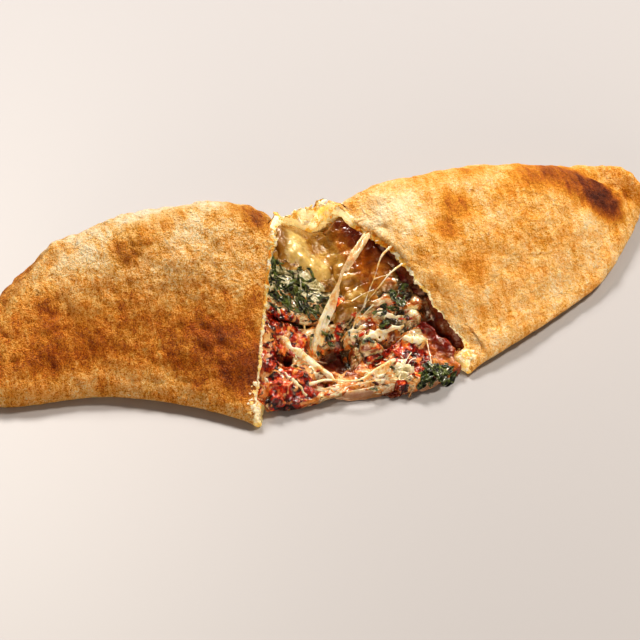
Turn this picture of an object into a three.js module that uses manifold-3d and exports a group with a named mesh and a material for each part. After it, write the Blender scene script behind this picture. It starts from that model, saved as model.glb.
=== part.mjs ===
// A baked calzone: one folded, stuffed and sealed piece of dough, cut across its middle from the
// straight front fold almost to the crimped back hem, and opened like a book about that hem.
// The filling lies in three layers that run through both halves and slump into the opening.
// Lengths are in millimetres, +Z is up, and the dough lies on z = 0 with its opening towards -Y.
// The shapes are worked out about the upright axis that the halves swing on, at the back hem, and
// the finished group is then moved so that its origin is under the middle of the whole calzone.

import * as THREE from "three";
import { ParametricGeometry } from "three/addons/geometries/ParametricGeometry.js";
import { mergeVertices } from "three/addons/utils/BufferGeometryUtils.js";
import Module from "manifold-3d";

const wasm = await Module();
wasm.setup();

const { clamp, degToRad, lerp, smoothstep } = THREE.MathUtils;

// ---- Driving dimensions ----

const CUT_DEPTH = 104; // front fold to swing axis, measured along the knife cut
const CUT_HEIGHT = 44; // crest of the dough at the cut
const HEM_GAP = 1; // outer face of the hem to the swing axis
const HEM_WIDTH = 9; // crimped hem, outside the dome's back foot
const HEM_HEIGHT = 10;
const EDGE_LIFT = 3; // height of the outermost line of the rounded edge
const EDGE_LIFT_AT_CUT = 1;
const BRIDGE = 28; // dough left whole in front of the swing axis
const BRIDGE_RISE = 4; // how far that dough has buckled up

const CRUST_TOP = 4.5; // thickness of the domed crust
const CRUST_FRONT = 6.5; // thickness at the front fold
const CRUST_BACK = 5.5; // thickness of the dome's back foot
const CRUST_TIP = 12; // thickness at the two ends
const CRUST_FLOOR = 4; // thickness of the bottom crust
const LAYER_GAP = 0.35; // clearance between neighbouring pieces

// Each half is described by its distance x from the cut and its depth y from the front fold at
// the cut. Its outline narrows as a superellipse.
const LEFT = {
  side: -1,
  turn: degToRad(22.7), // swing away from the closed position
  length: 114,
  bluntness: 2.9,
  tipDrop: 28, // how far the middle line moves towards the front at the tip
  tipDropPower: 5,
  tuck: 8, // hollow in the front fold between the cut and the tip
  swell: 6, // rise of the crest just behind the cut
  crestFall: 2.6,
  crestRound: 0.55,
};
const RIGHT = {
  side: 1,
  turn: degToRad(-26),
  length: 126,
  bluntness: 2,
  tipDrop: 21,
  tipDropPower: 1.3,
  tuck: 0,
  swell: 1.5,
  crestFall: 2.2,
  crestRound: 0.62,
};
const TUCK_SPAN = 0.85; // share of the length that the tuck runs over
const SWELL_SPAN = 20; // distance from the cut over which the crest and the edge rise
const CREST_AT_CUT = 0.74; // place of the crest between the front fold and the back foot
const CREST_AT_TIP = 0.5;
const FRONT_BEND = 1.4; // the front of the dome slants, and the back is fuller and steeper
const BACK_BEND = 2.2;
const BACK_ROUND = 0.65;
const FLAT_SHARE = 0.8; // share of the half depth that lies flat
const HEM_BLEND = 3; // rounding of the valley between the dome and the hem

// The two faces between the three layers. A share is of the height inside the crust, from the
// floor up. In the opening a face climbs from "back" to the surface at its radius from the swing
// axis, so that the layers show one in front of another.
const TOMATO_FACE = { share: 0.36, back: 0.26, radiusLeft: 69, radiusRight: 78, phase: 0 };
const SPINACH_FACE = { share: 0.7, back: 0.5, radiusLeft: 55, radiusRight: 75, phase: 1 };
const FACE_TOP = 1.2; // share that a face climbs to, which clears the surface
const FACE_CLIMB = 13; // distance that it climbs over
const FACE_FADE = 30; // distance behind a cut over which it goes back to its own share
const LAYER_WAVE = 2; // height of the waves in the faces between the layers
const LAYER_EDGE = 7; // how far the faces turn up at the filling's edge

const VALLEY_BACK = 27; // height of the slumped filling at the bridge
const VALLEY_FRONT = 4.5; // and at the front of the opening
const VALLEY_REACH = 91; // radius of that front
const SLUMP_REACH = 27; // distance over which the filling slumps from the roof to the valley
const SLUMP_POWER = 1.7;
const UNDERCUT = { left: 3, right: 8, bridge: 7 }; // how far it has drawn back under the dough
const SKIRT_REACH_LEFT = 96.5; // swing axis to the front edge of the filling that has spilled out
const SKIRT_REACH_RIGHT = 101;
const SKIRT_SAG = 8.5; // how far that edge draws back between the two halves
const SAG_SHARE = 0.43; // place of the deepest sag, from the left cut to the right
const SAG_WIDTH = 0.22;
const SKIRT_HEIGHT = 12;
const LOWEST = 3; // least height of the bare filling

// Heaps and pockets of the bare filling, by their place between the cuts and from the axis.
const HEAPS = [
  { share: 0.4, radius: 71, reach: 9, height: -6 }, // torn pocket in the middle
  { share: 0.75, radius: 83, reach: 12, height: 5 },
  { share: 0.14, radius: 87, reach: 10, height: 3.5 },
  { share: 0.62, radius: 37, reach: 9, height: -5 }, // hollow under the bridge
  { share: 0.25, radius: 43, reach: 9, height: 2 },
];

// How finely the bodies are divided.
const STEPS = {
  dough: { stations: 15, around: 40 },
  hollow: { stations: 11, around: 28 },
  opening: { columns: 6, rows: 4 },
  air: { columns: 12, rows: 14 },
  layers: { columns: 30, rows: 24 },
};
const FAN_STEPS = 6; // sections between the two cuts

const COLOURS = {
  crust: 0xc8935a,
  tomato_filling: 0x9c3216,
  spinach_ricotta: 0x8d9560,
  mozzarella: 0xe8d9a6,
};

const TINY = 1e-3; // keeps a division from being by zero where a section shrinks to a point

// ---- The shape of the dough ----

// The front and back edge at distance x from the cut. "share" runs from 0 there to 1 at the tip.
function outline(half, x) {
  const share = Math.min(x / half.length, 1);
  const fullReach = (CUT_DEPTH - HEM_GAP) / 2;
  const reach = fullReach * (1 - share ** half.bluntness) ** (1 / half.bluntness);
  const middle = fullReach - half.tipDrop * share ** half.tipDropPower;
  const tuckWave = Math.sin(Math.PI * Math.min(share / TUCK_SPAN, 1));
  const front = middle - reach + (half.tuck * tuckWave * reach) / fullReach;
  return { front, back: middle + reach, share };
}

function crestHeight(half, x) {
  const share = Math.min(x / half.length, 1);
  const rise = half.swell * smoothstep(x, 0, SWELL_SPAN);
  return (CUT_HEIGHT + rise) * (1 - share ** half.crestFall) ** half.crestRound;
}

function edgeLift(x) {
  return lerp(EDGE_LIFT_AT_CUT, EDGE_LIFT, smoothstep(x, 0, SWELL_SPAN));
}

// A dome over t from 0 to 1 that is 1 high at the crest.
function domeProfile(t, crest) {
  if (t <= 0 || t >= 1) return 0;
  if (t < crest) return 1 - ((crest - t) / crest) ** FRONT_BEND;
  return (1 - ((t - crest) / (1 - crest)) ** BACK_BEND) ** BACK_ROUND;
}

function smoothMax(a, b, blend) {
  const overlap = Math.max(blend - Math.abs(a - b), 0);
  return Math.max(a, b) + overlap ** 2 / (4 * blend);
}

// How far the underside has left the ground, from 0 to 1, towards the edge and the tip.
function undersideLift(u, share) {
  const TIP_FROM = 0.93; // share of the length from which the tip leaves the ground
  const overEdge = (Math.abs(u) - FLAT_SHARE) / (1 - FLAT_SHARE);
  const overTip = (share - TIP_FROM) / (1 - TIP_FROM);
  return clamp(Math.max(overEdge, overTip), 0, 1) ** 2;
}

// A point of the outer skin: u runs from -1 at the front edge to 1 at the back edge.
function outerSkin({ half, x, buckle }, u) {
  const { front, back, share } = outline(half, x);
  const y = lerp(front, back, (u + 1) / 2);
  const fade = Math.min((back - front) / (3 * HEM_WIDTH), 1) + TINY;
  const foot = back - HEM_WIDTH * fade;
  const edge = edgeLift(x);
  const domeRise = Math.max(crestHeight(half, x) - edge, 0) + BRIDGE_RISE * buckle;
  const crest = lerp(CREST_AT_CUT, CREST_AT_TIP, share);
  const dome = domeRise * domeProfile((y - front) / (foot - front + TINY), crest);
  const rim = (HEM_HEIGHT - edge) * Math.sqrt(1 - Math.abs(u) ** 6) * fade;
  return {
    y,
    top: edge + (share < 1 ? smoothMax(dome, rim, HEM_BLEND * fade) : 0),
    bottom: edge * undersideLift(u, share),
  };
}

const PLAN_SHRINK = 3;

// The section of the hollow inside the crust, made smaller all round by "shrink". In plan it
// shrinks by more, so that its slanting faces draw back by that much too.
function hollowSection(half, x, shrink) {
  const planShrink = PLAN_SHRINK * shrink;
  const length = half.length - CRUST_TIP - planShrink;
  const share = Math.min(x / length, 1);
  const close = (1 - share ** 3) ** (1 / 3);
  const outer = outline(half, x);
  const frontWall = outer.front + CRUST_FRONT + planShrink;
  const backWall = outer.back - HEM_WIDTH - CRUST_BACK - planShrink;
  const middle = (frontWall + backWall) / 2;
  const reach = (Math.max(backWall - frontWall, 0) / 2) * close;
  const floor = CRUST_FLOOR + shrink;
  const edge = floor + edgeLift(x);
  const ceiling = crestHeight(half, x) - CRUST_TOP - shrink;
  const crest = lerp(CREST_AT_CUT, CREST_AT_TIP, share);
  return { share, middle, reach, floor, edge, rise: Math.max(ceiling - edge, 0) * close, crest };
}

function hollowSkin(shrink) {
  return ({ half, x }, u) => {
    const section = hollowSection(half, x, shrink);
    return {
      y: section.middle + u * section.reach,
      top: section.edge + section.rise * domeProfile((u + 1) / 2, section.crest),
      bottom: section.floor + edgeLift(x) * undersideLift(u, section.share),
    };
  };
}

// The height inside the hollow over the plan point of distance x and depth y.
function hollowCeiling(half, x, y, shrink) {
  const section = hollowSection(half, x, shrink);
  const u = clamp((y - section.middle) / (section.reach + TINY), -1, 1);
  return {
    floor: section.floor,
    top: section.edge + section.rise * domeProfile((u + 1) / 2, section.crest),
    edgeShare: Math.max(Math.abs(u), section.share) ** 4,
  };
}

// ---- Places in plan, about the swing axis ----

// The direction from the front fold to the back in a section that is swung by "turn".
function acrossAt(turn) {
  return new THREE.Vector2(Math.sin(turn), Math.cos(turn));
}

function outwardOf(half) {
  const across = acrossAt(half.turn);
  return new THREE.Vector2(across.y, -across.x).multiplyScalar(half.side);
}

// The half, distance and depth of a plan point. In the opening the distance is 0.
function localPlace(point) {
  for (const half of [LEFT, RIGHT]) {
    const x = point.dot(outwardOf(half));
    if (x >= 0) return { half, x, y: CUT_DEPTH + point.dot(acrossAt(half.turn)) };
  }
  return { half: LEFT, x: 0, y: CUT_DEPTH - point.length() };
}

// The sections of a loft: in along the left half, round the opening and out along the right half.
// They stand closer together towards the tips.
function sectionPlaces(tipThickness, stations) {
  const places = [];
  const addStation = (half, step) => {
    const quarter = (Math.PI / 2) * (step / stations);
    const x = (half.length - tipThickness) * Math.sin(quarter);
    places.push({ half, x, turn: half.turn, buckle: 0 });
  };
  for (let step = stations; step >= 0; step--) addStation(LEFT, step);
  for (let step = 1; step < FAN_STEPS; step++) {
    const share = step / FAN_STEPS;
    const turn = lerp(LEFT.turn, RIGHT.turn, share);
    places.push({ half: LEFT, x: 0, turn, buckle: Math.sin(Math.PI * share) });
  }
  for (let step = 0; step <= stations; step++) addStation(RIGHT, step);
  return places;
}

// ---- Solids ----

function toSolid(geometry) {
  const bare = geometry.clone();
  bare.deleteAttribute("normal");
  bare.deleteAttribute("uv");
  const merged = mergeVertices(bare, 1e-3);
  const corners = merged.index.array;
  const kept = [];
  for (let i = 0; i < corners.length; i += 3) {
    const [a, b, c] = corners.subarray(i, i + 3);
    if (a !== b && b !== c && c !== a) kept.push(a, b, c);
  }
  return new wasm.Manifold(
    new wasm.Mesh({
      numProp: 3,
      vertProperties: merged.attributes.position.array,
      triVerts: new Uint32Array(kept),
    }),
  );
}

function toGeometry(solid) {
  const mesh = solid.getMesh();
  const positions = new Float32Array(mesh.numVert * 3);
  for (let i = 0; i < mesh.numVert; i++) {
    const from = i * mesh.numProp;
    positions.set(mesh.vertProperties.subarray(from, from + 3), i * 3);
  }
  const geometry = new THREE.BufferGeometry();
  geometry.setAttribute("position", new THREE.BufferAttribute(positions, 3));
  geometry.setIndex(new THREE.BufferAttribute(mesh.triVerts, 1));
  geometry.computeVertexNormals();
  return geometry;
}

// A closed body through the sections that "skin" gives, up to "tipThickness" from both tips.
function loft(skin, tipThickness, { stations, around: sectionSteps }) {
  const places = sectionPlaces(tipThickness, stations);
  const placePoint = (around, along, target) => {
    const place = places[Math.round(along * (places.length - 1))];
    const angle = 2 * Math.PI * around;
    const { y, top, bottom } = skin(place, Math.cos(angle));
    const plan = acrossAt(place.turn).multiplyScalar(y - CUT_DEPTH);
    plan.addScaledVector(outwardOf(place.half), place.x);
    target.set(plan.x, plan.y, Math.sin(angle) > -1e-9 ? top : bottom);
  };
  return toSolid(new ParametricGeometry(placePoint, sectionSteps, places.length - 1));
}

// A block of columns and rows whose corners are placed by planAt(s, t) and whose top and bottom
// heights are given by functions of the plan point. s and t run from 0 to 1.
function block({ columns, rows }, planAt, topAt, bottomAt) {
  const geometry = new THREE.BoxGeometry(1, 1, 1, columns, rows, 1);
  const corners = geometry.attributes.position;
  for (let i = 0; i < corners.count; i++) {
    const plan = planAt(corners.getX(i) + 0.5, corners.getY(i) + 0.5);
    const height = corners.getZ(i) > 0 ? topAt(plan) : bottomAt(plan);
    corners.setXYZ(i, plan.x, plan.y, height);
  }
  return toSolid(geometry);
}

// Plan points of the opening between two distances from the swing axis, inset from the cuts. The
// outer distance is a function of the share s of the way from the left cut to the right.
function openingPlan(innerRadius, outerRadiusAt, insetLeft, insetRight) {
  return (s, t) => {
    const radius = lerp(outerRadiusAt(s), innerRadius, t);
    const turn = lerp(LEFT.turn - insetLeft / radius, RIGHT.turn + insetRight / radius, s);
    return acrossAt(turn).multiplyScalar(-radius);
  };
}

function skirtRadius(s) {
  const sag = SKIRT_SAG * Math.exp(-(((s - SAG_SHARE) / SAG_WIDTH) ** 2));
  return lerp(SKIRT_REACH_LEFT, SKIRT_REACH_RIGHT, s) - sag;
}

const ABOVE = 90; // clear above the dough
const BELOW = -5;
const OUTSIDE = 125; // clear of the front fold, from the swing axis

function makeCrust() {
  const dough = loft(outerSkin, 0, STEPS.dough);
  const hollow = loft(hollowSkin(0), CRUST_TIP, STEPS.hollow);
  const plan = openingPlan(BRIDGE, () => OUTSIDE, 0, 0);
  const opening = block(STEPS.opening, plan, () => ABOVE, () => BELOW);
  return dough.subtract(hollow).subtract(opening);
}

function heapPlace({ share, radius }) {
  return acrossAt(lerp(LEFT.turn, RIGHT.turn, share)).multiplyScalar(-radius);
}

// The height of the bare filling in the opening. It slumps away from under both cut edges into a
// valley that falls from the bridge to the front.
function bareHeight(point) {
  const radius = point.length();
  const face = hollowCeiling(LEFT, 0, CUT_DEPTH - radius, LAYER_GAP).top;
  const fromLeft = UNDERCUT.left - point.dot(outwardOf(LEFT));
  const fromRight = UNDERCUT.right - point.dot(outwardOf(RIGHT));
  const near = clamp(Math.min(fromLeft, fromRight) / SLUMP_REACH, 0, 1);
  const downhill = smoothstep(radius, BRIDGE, VALLEY_REACH);
  const valley = Math.min(lerp(VALLEY_BACK, VALLEY_FRONT, downhill), face);
  const heaps = HEAPS.map((heap) => {
    const distance = point.distanceTo(heapPlace(heap)) / heap.reach;
    return heap.height * Math.exp(-(distance ** 2));
  });
  const heaped = heaps.reduce((sum, height) => sum + height, 0);
  return Math.max(lerp(valley, face, (1 - near) ** SLUMP_POWER) + heaped, LOWEST);
}

function makeFilling() {
  const tipThickness = CRUST_TIP + PLAN_SHRINK * LAYER_GAP;
  const stuffing = loft(hollowSkin(LAYER_GAP), tipThickness, STEPS.hollow);
  const skirtPlan = openingPlan(BRIDGE + LAYER_GAP, skirtRadius, LAYER_GAP, LAYER_GAP);
  const skirt = block(STEPS.opening, skirtPlan, () => SKIRT_HEIGHT, () => 0);
  const { left, right, bridge } = UNDERCUT;
  const airPlan = openingPlan(BRIDGE - bridge, () => OUTSIDE, -left, -right);
  const air = block(STEPS.air, airPlan, () => ABOVE, bareHeight);
  return stuffing.add(skirt).subtract(air);
}

// The face between two layers. It turns up at the filling's edge, so that each layer wraps the
// one above it.
function layerFace({ share, back, radiusLeft, radiusRight, phase }) {
  return (point) => {
    const { half, x, y } = localPlace(point);
    const { floor, top, edgeShare } = hollowCeiling(half, x, y, LAYER_GAP);
    const turn = x > 0 ? half.turn : Math.atan2(-point.x, -point.y);
    const sideways = (LEFT.turn - turn) / (LEFT.turn - RIGHT.turn);
    const climbTo = lerp(radiusLeft, radiusRight, sideways);
    const climb = smoothstep(CUT_DEPTH - y, climbTo - FACE_CLIMB, climbTo);
    const atHeight = lerp(lerp(back, FACE_TOP, climb), share, smoothstep(x, 0, FACE_FADE));
    const waves = Math.sin(point.x / 13 + phase) * Math.sin(point.y / 11 + 2 * phase);
    return lerp(floor, top, atHeight) + LAYER_WAVE * waves + LAYER_EDGE * edgeShare;
  };
}

function makeLayers() {
  const WIDE = 135; // reaches past both tips and both edges from the swing axis
  const plan = (s, t) => new THREE.Vector2(lerp(-WIDE, WIDE, s), lerp(-WIDE, WIDE / 2, t));
  const filling = makeFilling();
  const below = (face, offset) => {
    return block(STEPS.layers, plan, (point) => face(point) + offset, () => BELOW);
  };
  const overTomato = layerFace(TOMATO_FACE);
  const overSpinach = layerFace(SPINACH_FACE);
  const gap = LAYER_GAP / 2;
  return {
    tomato_filling: filling.intersect(below(overTomato, -gap)),
    spinach_ricotta: filling.subtract(below(overTomato, gap)).intersect(below(overSpinach, -gap)),
    mozzarella: filling.subtract(below(overSpinach, gap)),
  };
}

// ---- The calzone ----

const group = new THREE.Group();
for (const [name, solid] of Object.entries({ crust: makeCrust(), ...makeLayers() })) {
  const isCrust = name === "crust";
  const material = new THREE.MeshStandardMaterial({
    color: COLOURS[name],
    roughness: isCrust ? 0.75 : 0.35,
    metalness: 0,
  });
  const mesh = new THREE.Mesh(toGeometry(solid), material);
  mesh.name = name;
  group.add(mesh);
}

const middle = new THREE.Box3().setFromObject(group).getCenter(new THREE.Vector3());
group.position.set(-middle.x, -middle.y, 0);

export default group;
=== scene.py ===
"""The looks of a baked calzone, cut across its middle and opened like a book.

The crust is a domed shell whose halves still hang together at the back hem. Between them lie the
tomato filling, the spinach and ricotta, and the mozzarella, which has melted into lumps and
pulled strands. Lengths are in metres, +Z is up and the opening faces -Y.
"""

import math
import random
from collections import namedtuple
from functools import cached_property

import bmesh
import bpy
import numpy as np
from bpy.props import FloatProperty, FloatVectorProperty, IntProperty, PointerProperty
from mathutils import Matrix, Vector, noise
from mathutils.bvhtree import BVHTree


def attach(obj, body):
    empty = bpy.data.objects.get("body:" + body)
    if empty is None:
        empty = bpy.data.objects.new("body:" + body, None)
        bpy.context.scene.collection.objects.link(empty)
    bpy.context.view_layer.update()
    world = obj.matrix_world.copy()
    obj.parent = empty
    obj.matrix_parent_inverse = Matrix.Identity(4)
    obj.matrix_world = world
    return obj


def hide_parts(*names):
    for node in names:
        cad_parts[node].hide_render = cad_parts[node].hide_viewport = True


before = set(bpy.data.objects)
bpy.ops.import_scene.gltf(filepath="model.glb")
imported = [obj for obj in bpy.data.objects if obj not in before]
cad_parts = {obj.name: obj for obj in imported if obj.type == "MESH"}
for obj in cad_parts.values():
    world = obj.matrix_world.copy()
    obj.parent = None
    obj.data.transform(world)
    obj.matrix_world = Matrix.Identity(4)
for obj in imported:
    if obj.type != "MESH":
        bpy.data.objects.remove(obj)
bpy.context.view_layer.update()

bl_info = {
    "name": "Cut calzone",
    "version": (1, 0, 0),
    "blender": (4, 5, 0),
    "location": "View3D > Sidebar > Calzone",
    "description": "Builds the crust, the filling and the stage of a calzone that is cut open",
    "category": "Object",
}

MM = 0.001

# ---- Places on the calzone ----

SWING_AXIS = np.array((-3.5, 38.3)) * MM  # upright axis at the back hem that the halves opened on
LEFT_TURN = math.radians(22.7)  # swing of each half away from the closed position
RIGHT_TURN = math.radians(-26)
OPENING_TURN = LEFT_TURN - RIGHT_TURN  # angle between the two cuts
LEFT_OUT = np.array((-math.cos(LEFT_TURN), math.sin(LEFT_TURN)))  # from the cut into the half
RIGHT_OUT = np.array((math.cos(RIGHT_TURN), -math.sin(RIGHT_TURN)))
CUT_DEPTH = 104 * MM  # front fold to swing axis
BRIDGE = 28 * MM  # dough left whole in front of the swing axis
BRIDGE_PULL = 6.5  # millimetres that the skin is drawn back from the bridge's edge
HEM_WIDTH = 9 * MM
MERGE_DISTANCE = 0.01 * MM  # between the corners of CAD faces that are one corner


def across(turn):
    """The plan direction from the front fold to the back in a section swung by turn."""
    return np.array((math.sin(turn), math.cos(turn)))


def opening_place(share, radius, height=0.0):
    """A point of the opening, from its share of the way from the left cut to the right one."""
    turn = LEFT_TURN + share * (RIGHT_TURN - LEFT_TURN)
    x, y = SWING_AXIS - radius * across(turn)
    return Vector((x, y, height))


def smooth_step(low, high, values):
    """0 below low, 1 above high and smooth in between."""
    share = np.clip((values - low) / (high - low), 0, 1)
    return share * share * (3 - 2 * share)


class Plan:
    """Where points lie in plan.

    share runs from 0 at the left cut to 1 at the right one and radius is the distance to the swing
    axis. behind is the distance from the cut into a half, and depth the one from the front fold.
    """

    def __init__(self, points):
        offset = points[:, :2] - SWING_AXIS
        self.radius = np.hypot(offset[:, 0], offset[:, 1])
        turn = np.arctan2(-offset[:, 0], -offset[:, 1])
        self.share = (LEFT_TURN - turn) / OPENING_TURN
        self.behind_left = offset @ LEFT_OUT
        self.behind_right = offset @ RIGHT_OUT
        self.behind = np.maximum(np.maximum(self.behind_left, self.behind_right), 0)
        self.in_left = self.behind_left > np.maximum(self.behind_right, 0)
        self.in_right = self.behind_right > np.maximum(self.behind_left, 0)
        self.in_opening = ~(self.in_left | self.in_right)
        depth_left = CUT_DEPTH + offset @ across(LEFT_TURN)
        depth_right = CUT_DEPTH + offset @ across(RIGHT_TURN)
        self.depth = np.where(self.in_left, depth_left, depth_right)
        self.depth[self.in_opening] = CUT_DEPTH - self.radius[self.in_opening]


# ---- Meshes ----

GROUP_LEVELS = 24  # even levels that the weights of a vertex group are rounded to


def deselect_all():
    bpy.ops.object.select_all(action="DESELECT")


def make_active(piece):
    deselect_all()
    piece.select_set(True)
    bpy.context.view_layer.objects.active = piece


def copy_node(node, name):
    """A merged copy of a CAD node's mesh as a new object."""
    piece = bpy.data.objects.new(name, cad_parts[node].data.copy())
    bpy.context.scene.collection.objects.link(piece)
    piece.data.materials.clear()
    make_active(piece)
    bpy.ops.object.mode_set(mode="EDIT")
    bpy.ops.mesh.select_all(action="SELECT")
    bpy.ops.mesh.remove_doubles(threshold=MERGE_DISTANCE)
    bpy.ops.object.mode_set(mode="OBJECT")
    return piece


def apply_modifier(piece, kind, **settings):
    make_active(piece)
    modifier = piece.modifiers.new(kind, kind)
    for key, value in settings.items():
        setattr(modifier, key, value)
    bpy.ops.object.modifier_apply(modifier=modifier.name)


def remesh(piece, voxel):
    apply_modifier(piece, "REMESH", mode="VOXEL", voxel_size=voxel, use_smooth_shade=True)


def smooth(piece, iterations, group=""):
    apply_modifier(piece, "SMOOTH", factor=0.5, iterations=iterations, vertex_group=group)


def roughen(piece, kind, size, strength, group="", **texture_settings):
    """Pushes the surface in and out by a texture whose features have the given size."""
    texture = bpy.data.textures.new(f"{piece.name}_{kind}", kind)
    texture.noise_scale = size
    for key, value in texture_settings.items():
        setattr(texture, key, value)
    apply_modifier(
        piece,
        "DISPLACE",
        texture=texture,
        texture_coords="LOCAL",
        strength=strength,
        mid_level=0.5,
        vertex_group=group,
    )


def read_vectors(items, name):
    values = np.empty(len(items) * 3, np.float32)
    items.foreach_get(name, values)
    return values.reshape(-1, 3).astype(float)


def points_of(piece):
    return read_vectors(piece.data.vertices, "co")


def normals_of(piece):
    return read_vectors(piece.data.vertex_normals, "vector")


def move_points(piece, points):
    piece.data.vertices.foreach_set("co", points.astype(np.float32).ravel())
    piece.data.update()


def set_group(piece, name, weights):
    """A vertex group with one weight for each vertex."""
    group = piece.vertex_groups.new(name=name)
    steps = np.rint(np.clip(weights, 0, 1) * GROUP_LEVELS).astype(int)
    for step in range(1, GROUP_LEVELS + 1):
        group.add(np.flatnonzero(steps == step).tolist(), step / GROUP_LEVELS, "REPLACE")


def set_attributes(piece, **values):
    """Stores one value for each vertex under each name."""
    for name, value in values.items():
        layer = piece.data.attributes.new(name, "FLOAT", "POINT")
        layer.data.foreach_set("value", value.astype(np.float32))


def subdivide_where(piece, chosen):
    """Divides the faces whose vertices are all chosen."""
    make_active(piece)
    bpy.ops.object.mode_set(mode="EDIT")
    bpy.ops.mesh.select_mode(type="VERT")
    bpy.ops.mesh.select_all(action="DESELECT")
    bpy.ops.object.mode_set(mode="OBJECT")
    piece.data.vertices.foreach_set("select", chosen)
    bpy.ops.object.mode_set(mode="EDIT")
    bpy.ops.mesh.select_mode(type="FACE")
    bpy.ops.mesh.subdivide(number_cuts=1)
    bpy.ops.mesh.select_all(action="DESELECT")
    bpy.ops.object.mode_set(mode="OBJECT")


def keep_above_floor(piece):
    """Lifts to the floor what has been pushed under it."""
    points = points_of(piece)
    points[:, 2] = np.maximum(points[:, 2], 0)
    move_points(piece, points)


def join(pieces, name):
    """One object of several, whose mesh holds its place."""
    deselect_all()
    for piece in pieces:
        piece.select_set(True)
    bpy.context.view_layer.objects.active = pieces[0]
    if len(pieces) > 1:
        bpy.ops.object.join()
    joined = bpy.context.view_layer.objects.active
    bpy.ops.object.transform_apply(location=True, rotation=True, scale=True)
    joined.name = name
    joined.data.name = name
    return joined


def add_grid(rows, columns):
    """A flat grid of points, one unit long along X and along Y."""
    deselect_all()
    bpy.ops.mesh.primitive_grid_add(x_subdivisions=rows - 1, y_subdivisions=columns - 1, size=1)
    return bpy.context.object


def along_line(corners, shares):
    """Points at the given shares of the way along a line, with its corners at even shares."""
    steps = np.linspace(0, 1, len(corners))
    return np.stack([np.interp(shares, steps, column) for column in corners.T], axis=1)


def finish_piece(piece, material, slot, *nodes):
    """Gives a piece its material and its place in the frame."""
    keep_above_floor(piece)
    piece.data.materials.clear()
    piece.data.materials.append(material)
    make_active(piece)
    bpy.ops.object.shade_smooth()
    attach(piece, "root")
    if nodes:
        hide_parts(*nodes)


# ---- Materials ----


def srgb(red, green, blue):
    """A colour of 0 to 255 steps as linear light."""
    def linear(step):
        share = step / 255
        return share / 12.92 if share <= 0.04045 else ((share + 0.055) / 1.055) ** 2.4

    return (linear(red), linear(green), linear(blue))


class Wire:
    """A node's output that Python's operators extend with Math nodes."""

    def __init__(self, graph, socket):
        self.graph = graph
        self.socket = socket

    def math(self, operation, first, second=0.0, clamp=False):
        settings = {"operation": operation, "use_clamp": clamp}
        return self.graph.node("ShaderNodeMath", settings, {0: first, 1: second})

    def __add__(self, other):
        return self.math("ADD", self, other)

    def __radd__(self, other):
        return self.math("ADD", other, self)

    def __sub__(self, other):
        return self.math("SUBTRACT", self, other)

    def __rsub__(self, other):
        return self.math("SUBTRACT", other, self)

    def __mul__(self, other):
        return self.math("MULTIPLY", self, other)

    def __rmul__(self, other):
        return self.math("MULTIPLY", other, self)

    def at_most(self, other):
        return self.math("MINIMUM", self, other)

    def clamped(self):
        """The value kept between 0 and 1."""
        return self.math("ADD", self, 0.0, clamp=True)

    def between(self, low, high):
        """0 below low, 1 above high and smooth in between."""
        sockets = {"Value": self, "From Min": low, "From Max": high}
        return self.graph.node("ShaderNodeMapRange", {"interpolation_type": "SMOOTHSTEP"}, sockets)


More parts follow.
